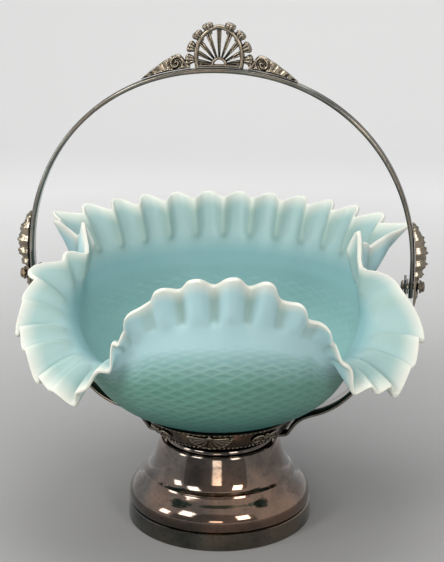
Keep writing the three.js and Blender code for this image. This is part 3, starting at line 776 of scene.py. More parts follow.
@dataclass(frozen=True)
class StudioFinish:
    """Matt paper of the floor and backdrop: painted shadow darkens it near the object, and a
    painted glow brightens it away from the object for rays that see the background as the camera
    does.
    """

    name: str
    # Paper colour close to the object, darker as a painted shadow round it
    near: Colour
    far: Colour
    near_reach: float = 0.12
    far_reach: float = 1.0
    glow: float = 0.32

    def make(self) -> bpy.types.Material:
        """Builds the material.

        Returns:
            The node material.
        """
        graph = Graph(self.name)
        place = graph.add("ShaderNodeTexCoord")
        away = graph.add("ShaderNodeVectorMath", operation="LENGTH")
        graph.link(place.outputs["Object"], away.inputs[0])
        share = graph.remap(away.outputs["Value"], self.near_reach, self.far_reach, 0.0, 1.0)
        # Painted shadow: the paper darkens towards the object
        graph.feed("Base Color", graph.ramp(share, [(0.0, self.near), (1.0, self.far)]))
        # Painted glow away from the object, for camera, glossy and transmission rays
        seen = graph.maths("MULTIPLY", background_rays(graph.tree), share)
        graph.feed("Emission Strength", graph.maths("MULTIPLY", seen, self.glow))
        fill(graph.shader, {"Emission Color": (*WHITE, 1.0), "Roughness": 0.9})
        fill(graph.shader, {"Specular IOR Level": 0.1})
        return graph.material


@dataclass
class Finishes:
    """All finishes of the basket, made once."""

    slots: dict[Slot, bpy.types.Material] = field(init=False)

    def __post_init__(self) -> None:
        """Makes the materials."""
        self.slots = {
            Slot.PLATE: PlateFinish(
                "spun_plate",
                clean=(0.185, 0.16, 0.14),
                tarnish=(0.048, 0.039, 0.033),
                warm=(0.24, 0.15, 0.105),
                roughness=(0.05, 0.13),
            ).make(),
            Slot.DARK: PlateFinish(
                "dark_plate",
                clean=(0.19, 0.2, 0.185),
                tarnish=(0.055, 0.058, 0.052),
                warm=(0.19, 0.155, 0.115),
                roughness=(0.1, 0.22),
            ).make(),
            Slot.CAST: CastFinish(
                "cast_relief",
                hollow=(0.01, 0.009, 0.008),
                face=(0.07, 0.066, 0.056),
                rubbed=(0.25, 0.215, 0.165),
            ).make(),
            Slot.BRIGHT: PlateFinish(
                "rubbed_plate",
                clean=(0.32, 0.27, 0.19),
                tarnish=(0.1, 0.08, 0.06),
                warm=(0.34, 0.23, 0.13),
                roughness=(0.15, 0.3),
            ).make(),
            Slot.GLASS: GlassFinish(
                "satin_glass",
                inside=(0.25, 0.44, 0.43),
                wall=(0.185, 0.35, 0.37),
                lip=(0.27, 0.4, 0.395),
                arch=(0.33, 0.5, 0.53),
                # Painted shade colour of the pleats
                pleat_shade=(0.23, 0.34, 0.3),
                # body and seat: greener glass, darker at the seat partly as painted shade
                body=(0.105, 0.235, 0.19),
                seat=(0.045, 0.165, 0.145),
                rim=(0.6, 0.61, 0.55),
            ).make(),
        }

    def of(self, slot: Slot) -> bpy.types.Material:
        """Finish of a material slot."""
        return self.slots[slot]


def dress(
    piece: bpy.types.Object, finishes: Finishes, slot: Slot, body: Body, nodes: Sequence[str] = ()
) -> bpy.types.Object:
    """Gives a piece its finish and body, and hides the nodes of the frame that it replaces.

    Args:
        piece: New piece.
        finishes: Finishes of the basket.
        slot: Slot that the finish comes from.
        body: Body that the piece rides on.
        nodes: Nodes of the frame that it replaces.

    Returns:
        The same piece.
    """
    piece.data.materials.clear()
    piece.data.materials.append(finishes.of(slot))
    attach(piece, body.value)
    if nodes:
        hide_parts(*nodes)
    log.info("piece %s on %s: %d points", piece.name, body.value, len(piece.data.vertices))
    return piece


def dress_node(node: str, finishes: Finishes, slot: Slot) -> None:
    """Gives a node of the frame a detailed finish.

    Args:
        node: Name of the node.
        finishes: Finishes of the basket.
        slot: Slot that the finish comes from.
    """
    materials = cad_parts[node].data.materials
    for index in range(len(materials)):
        materials[index] = finishes.of(slot)
    if not materials:
        materials.append(finishes.of(slot))
    log.info("node %s finished", node)


def dress_pair(
    right: bpy.types.Object, finishes: Finishes, slot: Slot, body: Body, node: str
) -> None:
    """Mirrors a piece of the +X side to the other side and dresses both.

    Args:
        right: Piece whose name ends in _right.
        finishes: Finishes of the basket.
        slot: Slot that the finish comes from.
        body: Body that both ride on.
        node: Name of the nodes that they replace, without the side.
    """
    left = mirrored(right, right.name.replace("_right", "_left"))
    dress(right, finishes, slot, body, [node + "_right"])
    dress(left, finishes, slot, body, [node + "_left"])


# Foot, collar and cup


@dataclass
class SpunFoot:
    """The band on the floor and the spun bell with its trumpet neck over it."""

    radius: float = 64.0
    band_height: float = 12.0
    band_wall: float = 3.0
    band_draw: float = 0.8
    bell_radius: float = 63.0
    step_radius: float = 51.4
    step_height: float = 33.2
    bead: float = 1.1
    neck_radius: float = 41.0
    neck_height: float = 57.4
    neck_lip: float = 1.4
    well_depth: float = 3.6
    wall: float = 1.5
    segments: int = 180
    bell_shares: Table = (
        (0.02, 0.05), (0, 0.12), (0.02, 0.37), (0.13, 0.51), (0.29, 0.63), (0.49, 0.74),
        (0.69, 0.84),
    )
    neck_shares: Table = (
        (0.09, 0.055), (0.21, 0.09), (0.42, 0.22), (0.58, 0.4), (0.75, 0.65), (0.92, 0.9),
    )

    @property
    def well_height(self) -> float:
        """Height of the flat in the neck."""
        return self.neck_height - self.well_depth

    @property
    def well_radius(self) -> float:
        """Radius of the well."""
        return self.neck_radius - self.neck_lip - self.wall / 2

    def band_outline(self) -> list[Point2]:
        """Section of the band, with its edges eased.

        Returns:
            Radius and height of its corners.
        """
        inner = self.radius - self.band_wall
        outer = self.radius
        ease = self.bead * 0.4
        top = outer - self.band_draw
        return [
            (inner, 0),
            (outer - ease, 0),
            (outer, ease),
            (outer, self.band_height / 6),
            (top + ease * 0.5, self.band_height - ease),
            (top - ease, self.band_height),
            (inner, self.band_height),
        ]

    def bell_outline(self) -> list[Point2]:
        """Section of the spun foot, from the band up to its lip and back inside.

        Returns:
            Radius and height of its points.
        """
        start = self.band_height + SEAT_GAP
        bead, step, top = self.bead, self.step_radius, self.step_height
        skin = [
            (self.bell_radius - bead, start),
            *between(self.bell_shares, (self.bell_radius, start), (step, top)),
            (step + bead, top - bead / 2),
            (step + bead / 2, top + bead / 2),
            *between(self.neck_shares, (step, top), (self.neck_radius, self.neck_height)),
            (self.neck_radius, self.neck_height - bead / 2),
            (self.neck_radius - bead / 2, self.neck_height),
        ]
        fine = smooth_line(skin, 6, corners=(8, 9, 10))
        ceiling = self.well_height - self.wall
        inside = inset_line(fine, self.wall)
        underside = [point for point in inside if point[1] < ceiling - self.wall]
        return [
            *fine,
            (self.well_radius + bead / 2, self.neck_height),
            (self.well_radius + bead / 6, self.neck_height - bead / 6),
            (self.well_radius, self.neck_height - bead / 2),
            (self.well_radius, self.well_height),
            (BORE_RADIUS, self.well_height),
            (BORE_RADIUS, ceiling),
            (self.neck_radius - self.wall / 2, ceiling),
            *underside[::-1],
        ]

    def build(self, finishes: Finishes) -> None:
        """Makes both pieces and dresses them.

        Args:
            finishes: Finishes of the basket.
        """
        band = turned(self.band_outline(), self.segments).made("plain_band", 40)
        dress(band, finishes, Slot.DARK, Body.STAND, ["base_band"])
        bell = turned(self.bell_outline(), self.segments).made("spun_bell", 40)
        dress(bell, finishes, Slot.PLATE, Body.STAND, ["foot_shell"])


@dataclass
class StemDrum:
    """The short bulged collar in the well of the foot."""

    foot: SpunFoot
    play: float = 1.4
    height: float = 7.0
    crown: float = 2.0
    shares: Table = ((0, 0), (0.67, 0.22), (1, 0.5), (0.67, 0.78), (0, 1))

    @property
    def top(self) -> float:
        """Height of the collar's upper face."""
        return self.foot.well_height + SEAT_GAP + self.height

    def build(self, finishes: Finishes) -> None:
        """Makes the collar and dresses it.

        Args:
            finishes: Finishes of the basket.
        """
        radius = self.foot.well_radius - self.play
        floor = self.top - self.height
        side = between(self.shares, (radius - self.crown, floor), (radius, self.top))
        outline = [(BORE_RADIUS, floor), *smooth_line(side, 5), (BORE_RADIUS, self.top)]
        collar = turned(outline).made("bulged_collar")
        dress(collar, finishes, Slot.PLATE, Body.STAND, ["stem_drum"])


class BowlCurve:
    """Outer line of the glass body, which the cup follows too."""

    SEAT_RADIUS = 30.0
    BODY_RADIUS = 98.02
    BODY_HEIGHT = 147.0
    FLOOR = 66.6
    SHARES: Table = (
        (0.1, 0.07), (0.19, 0.119), (0.294, 0.161), (0.412, 0.206), (0.529, 0.263), (0.647, 0.34),
        (0.765, 0.442), (0.868, 0.572), (0.949, 0.721), (0.993, 0.876), (1.0, 1.0),
    )

    @classmethod
    def points(cls) -> list[Point2]:
        """Points of the line from the seat to the lip."""
        start = (cls.SEAT_RADIUS, cls.FLOOR)
        return [start, *between(cls.SHARES, start, (cls.BODY_RADIUS, cls.BODY_HEIGHT))]


@dataclass
class Cup:
    """The shallow spun dish under the glass."""

    floor: float = 63.5
    wall: float = 1.3
    rows: int = 4
    clearance: float = 0.4

    def lines(self) -> tuple[list[Point2], list[Point2]]:
        """Inner and outer line of the dish's wall.

        Returns:
            Both lines, from the seat up.
        """
        seat = BowlCurve.points()[: self.rows]
        inner = [(r + self.clearance, z - self.clearance) for r, z in seat]
        outer = [(r + self.wall, z - self.wall / 2) for r, z in inner]
        return inner, outer

    def build(self, finishes: Finishes) -> None:
        """Makes the cup and dresses it.

        Args:
            finishes: Finishes of the basket.
        """
        inner, outer = self.lines()
        floor = self.floor + self.wall
        outline = [
            (BORE_RADIUS, self.floor),
            (BowlCurve.SEAT_RADIUS, self.floor),
            *outer[1:],
            *inner[:0:-1],
            (BowlCurve.SEAT_RADIUS - self.wall, floor),
            (BORE_RADIUS, floor),
        ]
        dress(turned(outline).made("cup_dish"), finishes, Slot.PLATE, Body.STAND, ["cup"])


@dataclass
class Gallery:
    """The flared border round the cup, with its beads, fans and scrolls."""

    cup: Cup
    flare: float = 10.5
    wall: float = 1.4
    lift: float = 1.2
    crown: float = 1.0
    plaque_gap: float = 0.45
    relief: float = 1.5
    fan_radius: float = 16.0
    fan_rays: int = 9
    fan_foot_share: float = 0.38
    fan_squash: float = 0.82
    scroll_radius: float = 5.4
    scroll_spread: float = 1.15
    scroll_turns: float = 1.7
    scroll_steps: int = 60
    wire: float = 0.95
    wire_tip: float = 0.6
    wire_depth: float = 0.75
    ray_depth: float = 0.06
    rim_share: float = 0.8
    bead_radius: float = 0.85
    bead_inset: float = 1.6
    bead_sink: float = 0.45
    bead_count: int = 96

    def __post_init__(self) -> None:
        """Works out the strip's line from the cup's rim."""
        rim_radius, rim_height = self.cup.lines()[1][-1]
        self.foot = self.cup.floor + self.lift
        self.rise = rim_height + self.crown - self.foot
        self.slope = self.flare / self.rise
        seat = SEAT_GAP * math.hypot(1, self.slope)
        self.foot_radius = rim_radius + seat - (rim_height - self.foot) * self.slope
        self.middle = self.foot_radius + self.wall + self.flare / 2
        self.tilt = math.atan(self.slope)

    def on_strip(self, points: np.ndarray, turn: float) -> np.ndarray:
        """Lays points of a flat plaque on the strip.

        Args:
            points: Rows of x along the strip, y across it (minus is outwards) and z up its slope.
            turn: Turn about the axis in radians, 0 at the front.

        Returns:
            The points in the frame of the model.
        """
        x, y, z = points.T
        around = self.middle + z * math.sin(self.tilt)
        y = y - self.plaque_gap + (around - np.sqrt(around**2 - x**2)) * math.cos(self.tilt)
        out = y * math.cos(self.tilt) - z * math.sin(self.tilt) - self.middle
        up = y * math.sin(self.tilt) + z * math.cos(self.tilt) + self.foot + self.rise / 2
        cosine, sine = math.cos(turn), math.sin(turn)
        return np.stack([x * cosine - out * sine, x * sine + out * cosine, up], axis=1)

    def strip(self) -> Shell:
        """The strip with rows of beads along its lower and upper edge.

        Returns:
            The surface.
        """
        crown = self.foot_radius + self.flare
        top = self.foot + self.rise
        ease = self.wall * 0.25
        outline = [
            (self.foot_radius, self.foot),
            (self.foot_radius + self.wall - ease, self.foot),
            (self.foot_radius + self.wall, self.foot + ease),
            (crown + self.wall, top - ease),
            (crown + self.wall - ease, top),
            (crown, top),
        ]
        shells = [turned(outline, 160)]
        half = self.rise / 2 / math.cos(self.tilt)
        edge = half - self.bead_radius * self.bead_inset
        for height in (-edge, edge):
            ball = bead((0, self.bead_sink, height), self.bead_radius, 0.9, 8)
            for turn in full_turn(self.bead_count):
                shells.append(ball.moved(lambda points, at=turn: self.on_strip(points, at)))
        return Shell.merged(shells)

    def fan(self) -> Shell:
        """A hanging half round of fluted rays with a beaded edge.

        Returns:
            The flat plaque.
        """
        foot = self.fan_foot_share * self.rise
        turns = np.linspace(math.pi, 2 * math.pi, self.fan_rays * 12 + 1)[:, None]
        inner = np.linspace(0.0, self.rim_share, 9)
        shares = np.concatenate([inner, np.linspace(self.rim_share + 0.04, 1.0, 6)])
        lobe = np.abs(np.sin((turns - math.pi) * self.fan_rays)) ** 0.6
        edge = np.abs(np.sin((turns - math.pi) * self.fan_rays * 1.5)) ** 0.7
        reach = self.fan_radius * shares * (1 - self.ray_depth * (1 - lobe) * shares)
        rays = (0.25 + 0.75 * lobe) * (0.45 + 0.4 * shares)
        round_rim = np.sin(math.pi * np.clip((shares - self.rim_share) / 0.22, 0.05, 0.95))
        height = np.where(shares > self.rim_share, (0.3 + 0.7 * edge) * round_rim, rays)
        up = foot + reach * np.sin(turns) * self.fan_squash
        front = grid(reach * np.cos(turns), -self.relief * height, up)
        hub = bead((0, -0.5, foot - 0.4), 2.2, 0.45, 14)
        return Shell.merged([slab(front, front * (1, 0, 1)), hub])

    def scroll(self) -> Shell:
        """A pair of curled wires with a bead and small leaves between them.

        Returns:
            The flat plaque.
        """
        steps, end = self.scroll_steps, 0.9
        shells = [bead((0, -0.7, 0.4), 2.2, 0.4, 12)]
        shells += [bead((0, -0.5, up), 1.3, 0.5) for up in (-3.6, 3.9)]
        turn = np.linspace(0, self.scroll_turns * 2 * math.pi, steps)
        reach = np.linspace(self.scroll_radius - end, end, steps)
        half_width = np.linspace(self.wire, self.wire_tip, steps)
        for side in (-1, 1):
            x = side * (self.scroll_radius * self.scroll_spread - reach * np.cos(turn))
            line = np.stack([x, reach * np.sin(turn)], axis=1)
            wire = planar_tube(line, half_width, self.wire_depth, 8)
            shells.append(wire.moved(lambda points: points - np.array([0, self.wire_depth, 0])))
        return Shell.merged(shells)

    def build(self, finishes: Finishes) -> None:
        """Makes the border and dresses it.

        Args:
            finishes: Finishes of the basket.
        """
        strip = self.strip().made("beaded_border")
        dress(strip, finishes, Slot.CAST, Body.STAND, ["gallery_strip"])
        plaques = (
            ("rayed_fan", "fan", self.fan(), 0.0),
            ("curled_scroll", "scroll", self.scroll(), 0.5),
        )
        for i in range(4):
            for name, node, flat, ahead in plaques:
                turn = (i + ahead) * math.pi / 2
                laid = flat.moved(lambda points, at=turn: self.on_strip(points, at))
                piece = laid.made(f"{name}_{i + 1}")
                dress(piece, finishes, Slot.CAST, Body.STAND, [f"{node}_{i + 1}"])


# Lower straps and hoop


@dataclass
class Hoop:
    """The superellipse that the bail is bent to."""

    half_width: float = 127.0
    rise: float = 127.0
    centre: float = 182.7
    squareness: float = 2.1
    pivot: float = 170.0
    width: float = 9.0
    thickness: float = 3.0
    reed: float = 0.9
    tail: float = 7.0

    def point(self, turn: float) -> np.ndarray:
        """Point of the inner line.

        Args:
            turn: Turn in radians, 0 at the top and growing towards +X.

        Returns:
            The point.
        """
        power = 2 / self.squareness
        sine, cosine = math.sin(turn), math.cos(turn)
        x = self.half_width * math.copysign(abs(sine) ** power, sine)
        z = self.centre + self.rise * math.copysign(abs(cosine) ** power, cosine)
        return np.array([x, 0.0, z])

    def normal(self, turn: float) -> np.ndarray:
        """Outward normal at a turn.

        Args:
            turn: Turn in radians.

        Returns:
            The unit normal.
        """
        step = 0.02
        along = self.point(turn + step) - self.point(turn - step)
        along /= np.linalg.norm(along)
        return np.array([-along[2], 0.0, along[0]])

    def turn_at(self, height: float) -> float:
        """Turn at which the inner line passes a height on the +X side.

        Args:
            height: Height over the floor.

        Returns:
            The turn in radians.
        """
        share = (height - self.centre) / self.rise
        lean = math.asin(abs(share) ** (self.squareness / 2))
        return math.pi / 2 - math.copysign(lean, share)

    @property
    def inner_x(self) -> float:
        """Inner half width at the pivots."""
        return float(self.point(self.turn_at(self.pivot))[0])

    @property
    def top(self) -> float:
        """Height of the bail's outer face at its top."""
        return self.centre + self.rise + self.thickness

    def outer_height(self, x: np.ndarray) -> np.ndarray:
        """Heights of the bail's outer face at distances from the middle.

        Args:
            x: Distances.

        Returns:
            The heights.
        """
        share = np.minimum(np.abs(x) / (self.half_width + self.thickness), 1.0)
        tall = self.rise + self.thickness
        return self.centre + tall * (1 - share**self.squareness) ** (1 / self.squareness)


@dataclass
class LowerStraps:
    """The two plain flat arms from under the cup to the pivots."""

    hoop: Hoop
    lug_height: float = 62.3
    lug_start: float = 4.2
    width: float = 18.0
    thickness: float = 1.8
    eye_width: float = 12.0
    taper_share: float = 0.28
    washer: float = 0.8
    shares: Table = (
        (0.25, 0), (0.354, 0), (0.381, 0.008), (0.405, 0.044), (0.432, 0.085), (0.463, 0.115),
        (0.507, 0.138), (0.58, 0.168), (0.66, 0.222), (0.733, 0.299), (0.805, 0.39),
        (0.868, 0.482), (0.938, 0.63), (0.985, 0.81),
    )

    @property
    def reach(self) -> float:
        """Distance of the upright part of a strap from the axis."""
        return self.hoop.inner_x - 2 * SEAT_GAP - self.washer - self.thickness / 2

    def build(self, finishes: Finishes) -> None:
        """Makes both straps and dresses them.

        Args:
            finishes: Finishes of the basket.
        """
        line = [(self.lug_start, self.lug_height)]
        line += between(self.shares, (0, self.lug_height), (self.reach, self.hoop.pivot))
        line.append((self.reach, self.hoop.pivot - self.eye_width / 2))
        line.append((self.reach, self.hoop.pivot + self.eye_width / 2))
        fine = smooth_line(line, 8)
        half = self.thickness / 2
        ease = half * 0.45
        way = way_along(fine)
        rings = []
        for (x, z), (out_x, out_z), share in zip(fine, right_normals(fine), way / way[-1]):
            out = np.array([out_x, 0, out_z])
            taper = max(0.0, 1 - (1 - share) / self.taper_share) ** 2
            wide = (self.width + (self.eye_width - self.width) * taper) / 2
            section = [
                (-wide, -half + ease),
                (-wide + ease, -half),
                (wide - ease, -half),
                (wide, -half + ease),
                (wide, half - ease),
                (wide - ease, half),
                (-wide + ease, half),
                (-wide, half - ease),
            ]
            rings.append(np.array([np.array([x, side, z]) + out * face for side, face in section]))
        right = lofted(rings).made("flat_strap_right", 60)
        dress_pair(right, finishes, Slot.DARK, Body.STAND, "strap")


@dataclass
class Bail:
    """The reeded hoop handle."""

    hoop: Hoop
    steps: int = 220
    edge: float = 0.35
    reed_place: float = 0.56
    reed_share: float = 0.4

    def stations(self) -> list[tuple[np.ndarray, np.ndarray]]:
        """Places and outward normals along the hoop, tail to tail.

        Returns:
            Each place with its normal.
        """
        hoop = self.hoop
        last = hoop.turn_at(hoop.pivot)
        foot = hoop.pivot - hoop.tail
        rows = [(np.array([-hoop.inner_x, 0, foot]), np.array([-1.0, 0, 0]))]
        for i in range(self.steps + 1):
            turn = last * (2 * i / self.steps - 1)
            out = hoop.normal(turn)
            if i in (0, self.steps):
                out = np.array([math.copysign(1.0, turn), 0, 0])
            rows.append((hoop.point(turn), out))
        rows.append((np.array([hoop.inner_x, 0, foot]), np.array([1.0, 0, 0])))
        return rows

    def section(self) -> list[Point2]:
        """Section of the strap: flat inside, two round reeds outside.

        Returns:
            Place across and outwards of each corner.
        """
        half = self.hoop.width / 2
        base = self.hoop.thickness - self.hoop.reed
        line = [(-half + self.edge, 0), (half - self.edge, 0), (half, self.edge), (half, base)]
        for side in (1, -1):
            for turn in np.linspace(0, math.pi, 9):
                spot = side * half * self.reed_place + half * self.reed_share * math.cos(turn)
                line.append((spot, base + self.hoop.reed * math.sin(turn)))
        return [*line, (-half, base), (-half, self.edge)]

    def build(self, finishes: Finishes) -> None:
        """Makes the bail and dresses it.

        Args:
            finishes: Finishes of the basket.
        """
        section = self.section()
        rings = [
            np.array([place + out * up + np.array([0, side, 0]) for side, up in section])
            for place, out in self.stations()
        ]
        dress(lofted(rings).made("reeded_bail"), finishes, Slot.DARK, Body.HANDLE, ["bail"])


# Castings of the handle


@dataclass
class Crest:
    """The pierced fan under its arch, with ribbed flower buds outside."""

    hoop: Hoop
    rise: float = 27.6
    width: float = 33.0
    depth: float = 5.0
    wire: float = 3.2
    foot_share: float = 0.94
    flank_share: float = 1.16
    flank_height_share: float = 0.46
    crown_share: float = 0.8
    crown_height_share: float = 0.93
    hub_radius: float = 5.4
    hub_wire: float = 2.2
    hub_depth: float = 1.9
    hub_ends: Point2 = (-12, 192)
    bar_lift: float = 1.1
    bar_radius: float = 1.0
    spokes: int = 9
    spoke_reach: float = 0.9
    petal_root: float = 0.55
    petal_growth: float = 1.25
    petal_tip: tuple[float, float, float] = (0.97, 0.85, 0.6)
    bud_radius: float = 4.4
    bud_ribs: int = 7
    bud_steps: int = 42
    rib_depth: float = 0.24
    bud_shares: Table = ((0.42, 0.9), (0.8, 0.72), (1.04, 0.47), (1.13, 0.2))
    bud_outline: Table = (
        (-0.95, 0.3), (-0.6, 0.42), (-0.2, 0.62), (0.2, 0.84), (0.52, 0.86), (0.74, 0.62),
        (0.8, 0.34), (0.66, 0.12),
    )

    @property
    def foot(self) -> float:
        """Height of the crest's foot in its middle."""
        return self.hoop.top + SEAT_GAP

    def sunk(self, points: np.ndarray) -> np.ndarray:
        """Lets points sink with the hoop away from its top.

        Args:
            points: Points of the level crest.

        Returns:
            The sunk points.
        """
        fall = self.hoop.top - self.hoop.outer_height(points[:, 0])
        fade = np.maximum(0, (self.foot + self.rise - points[:, 2]) / self.rise)
        return np.stack([points[:, 0], points[:, 1], points[:, 2] - fall * fade], axis=1)

    def arch_line(self) -> np.ndarray:
        """Middle line of the arch from foot to foot, as rows of x and z.

        Returns:
            The line.
        """
        half, foot, rise = self.width / 2, self.foot, self.rise
        corners = np.array(
            [
                (-half * self.foot_share, foot),
                (-half * self.flank_share, foot + rise * self.flank_height_share),
                (-half * self.crown_share, foot + rise * self.crown_height_share),
                (0, foot + rise),
            ]
        )
        t = np.linspace(0, 1, 41)[:, None]
        left = sum(math.comb(3, k) * t**k * (1 - t) ** (3 - k) * corners[k] for k in range(4))
        line = np.vstack([left, (left * [-1, 1])[-2::-1]])
        along = directions(line)
        return line + np.stack([along[:, 1], -along[:, 0]], axis=1) * self.wire / 2

    def petal(self, lean: float) -> Shell:
        """A spoke of the fan: a fluted petal that widens outwards.

        Args:
            lean: Angle from the upright in radians.

        Returns:
            The surface.
        """
        half, rise = self.width / 2 * self.spoke_reach, self.rise * self.spoke_reach
        reach = 1 / math.hypot(math.sin(lean) / half, math.cos(lean) / rise)
        at = np.linspace(self.hub_radius - 1.2, reach + 0.4, 16)
        share = (at - at[0]) / (at[-1] - at[0])
        half_width = self.petal_root + self.petal_growth * share**0.8
        half_width[-3:] *= self.petal_tip
        across = np.linspace(-1, 1, 9)
        lift = 0.35 + 0.9 * np.abs(np.sin(np.pi * across)) ** 0.8 + 0.35 * (1 - np.abs(across))
        lift[[0, -1]] = 0.1
        at, side = at[:, None], half_width[:, None] * across
        x = at * math.sin(lean) + side * math.cos(lean)
        z = at * math.cos(lean) - side * math.sin(lean) + self.foot + self.wire / 2
        front = grid(x, -lift, z)
        return slab(front, front * (1, -1, 1))

    def bud(self, x: float, z: float) -> Shell:
        """A ribbed flower bud that opens away from the middle of the fan.

        Args:
            x: Distance from the middle.
            z: Height.

        Returns:
            The surface.
        """
        axis = np.array([x, 0, z - self.foot - self.rise * 0.15])
        axis /= np.linalg.norm(axis)
        across = np.array([axis[2], 0, -axis[0]])
        turn = full_turn(self.bud_steps)
        ribs = 1 - self.rib_depth * (1 - np.abs(np.sin(turn * self.bud_ribs / 2)) ** 0.7)
        rings = []
        for along, wide in self.bud_outline:
            reach = (wide * ribs * self.bud_radius)[:, None]
            ring = np.cos(turn)[:, None] * across + np.sin(turn)[:, None] * np.array([0, 1, 0])
            rings.append(np.array([x, 0, z]) + axis * along * self.bud_radius + ring * reach)
        return lofted(rings)

    def build(self, finishes: Finishes) -> None:
        """Makes the crest and dresses it.

        Args:
            finishes: Finishes of the basket.
        """
        half, foot = self.width / 2, self.foot
        shells = [planar_tube(self.arch_line(), self.wire / 2, self.depth / 2, 14)]
        reach = half * self.foot_share - 0.6
        bar = np.stack([np.linspace(-reach, reach, 25), np.full(25, foot + self.bar_lift)], axis=1)
        shells.append(planar_tube(bar, self.bar_radius, self.depth / 2 * 0.9, 10))
        turn = np.radians(np.linspace(*self.hub_ends, 30))
        ring = self.hub_radius - self.hub_wire / 2
        hub = np.stack([ring * np.cos(turn), foot + self.wire / 2 + ring * np.sin(turn)], axis=1)
        shells.append(planar_tube(hub, self.hub_wire / 2, self.hub_depth, 12))
        for i in range(self.spokes):
            shells.append(self.petal(((i + 0.5) / self.spokes - 0.5) * math.pi))
        for out, up in self.bud_shares:
            shells += [self.bud(side * out * half, foot + up * self.rise) for side in (-1, 1)]
        crest = Shell.merged(shells).moved(self.sunk).made("pierced_crest", 60)
        dress(crest, finishes, Slot.CAST, Body.HANDLE, ["crest"])


@dataclass
class Wings:
    """Scrolled leaves that taper down the bail beside the crest."""

    hoop: Hoop
    start: float = 18.9
    span: float = 32.0
    rise: float = 10.0
    depth: float = 5.0
    eye_share: float = 0.29
    eye_height_share: float = 0.46
    eye_reach: float = 4.2
    eye_blend: float = 1.6
    curl_pitch: float = 3.1
    veins: float = 7.5
    vein_slant: float = 0.9
    spine_height: float = 0.16
    spine_width: float = 0.12
    steps: int = 110
    rows: int = 24
    shares: Table = (
        (0, 0.34), (0.09, 0.5), (0.17, 0.84), (0.24, 1), (0.34, 0.98), (0.45, 0.84), (0.56, 0.72),
        (0.68, 0.53), (0.8, 0.38), (0.9, 0.22), (1, 0.06),
    )

    def relief(self, x: np.ndarray, z: np.ndarray, along: np.ndarray, up: np.ndarray) -> np.ndarray:
        """Height of the carving from 0 to 1: a curled eye, then slanting veins.

        Args:
            x: Distances along the bail.
            z: Heights over the bail.
            along: Shares of the wing's length.
            up: Shares of the height at that place.

        Returns:
            The heights.
        """
        dx = x - (self.start + self.span * self.eye_share)
        dz = z - self.rise * self.eye_height_share
        away = np.hypot(dx, dz)
        curl = 0.5 + 0.5 * np.cos(2 * math.pi * away / self.curl_pitch - np.arctan2(dz, dx))
        veins = np.abs(np.cos(math.pi * (along * self.veins - up * self.vein_slant))) ** 0.7
        spine = np.exp(-(((up - self.spine_height) / self.spine_width) ** 2))
        mix = np.clip((away - self.eye_reach) / self.eye_blend, 0, 1)
        carved = curl * (1 - mix) + np.maximum(veins * 0.85, spine) * mix
        border = np.minimum(1, np.minimum(up, 1 - up) * 9) ** 0.5
        return (0.48 + 0.52 * carved) * (0.4 + 0.6 * border)

    def build(self, finishes: Finishes) -> None:
        """Makes both wings and dresses them.

        Args:
            finishes: Finishes of the basket.
        """
        along = np.linspace(0, 1, self.steps)[:, None]
        up = np.linspace(0, 1, self.rows)
        table = np.array(smooth_line(self.shares, 4))
        x = self.start + along * self.span
        z = up * np.interp(along, table[:, 0], table[:, 1]) * self.rise
        y = -self.relief(x, z, along, up) * self.depth / 2
        front = grid(x, y, self.hoop.outer_height(x) + 2 * SEAT_GAP + z)
        right = slab(front, front * (1, -1, 1)).made("scrolled_wing_right", 70)
        dress_pair(right, finishes, Slot.CAST, Body.HANDLE, "wing")


@dataclass
class Leaves:
    """Knobbly leaves that climb the outside of the bail from a tongue below the pivot."""

    hoop: Hoop
    climb: float = 43.0
    tail: float = 15.0
    width: float = 13.0
    relief: float = 9.0
    seat_share: float = 0.36
    seat_reach: float = 7.2
    knobs: float = 17.0
    knob_share: float = 0.18
    lift: float = 0.02
    steps: int = 120
    rows: int = 21
    shares: Table = (
        (0, 0.1, 0.12), (0.08, 0.36, 0.2), (0.15, 0.52, 0.34), (0.27, 0.72, 0.36),
        (0.35, 0.72, 0.4), (0.4, 0.9, 0.7), (0.46, 0.72, 0.6), (0.52, 0.96, 0.95),
        (0.59, 0.76, 0.8), (0.66, 1, 1), (0.73, 0.74, 0.78), (0.81, 0.84, 0.8), (0.88, 0.6, 0.48),
        (0.94, 0.5, 0.42), (1, 0.08, 0.14),
    )

    def build(self, finishes: Finishes) -> None:
        """Makes both leaves and dresses them.

        Args:
            finishes: Finishes of the basket.
        """
        table = np.array(self.shares)
        hoop = self.hoop
        across = np.linspace(-1, 1, self.rows)
        stagger = 0.5 * np.round(np.abs(across) * 2)
        rows_of = 0.5 + 0.5 * np.cos(4 * math.pi * across)
        dome = (1 - np.abs(across) ** 2.8) ** 0.7
        front, back = [], []
        for share in np.linspace(0, 1, self.steps):
            height = hoop.pivot - self.tail + share * (self.climb + self.tail)
            if height < hoop.pivot:
                place, out = np.array([hoop.inner_x, 0, height]), np.array([1.0, 0, 0])
            else:
                turn = hoop.turn_at(height)
                place, out = hoop.point(turn), hoop.normal(turn)
            half = np.interp(share, table[:, 0], table[:, 1]) * self.width / 2
            tall = np.interp(share, table[:, 0], table[:, 2]) * self.relief
            if abs(height - hoop.pivot) < self.seat_reach:
                tall = self.relief * self.seat_share
            knob = 0.5 + 0.5 * np.cos(2 * math.pi * (share * self.knobs + stagger))
            carved = tall * dome * (1 - self.knob_share + self.knob_share * knob * rows_of)
            spots = np.tile(place + out * (hoop.thickness + SEAT_GAP), (self.rows, 1))
            spots[:, 1] = across * half
            back.append(spots)
            front.append(spots + np.outer(carved + self.lift, out))
        right = slab(np.array(front), np.array(back)).made("knobbly_leaf_right", 75)
        dress_pair(right, finishes, Slot.CAST, Body.HANDLE, "leaf")


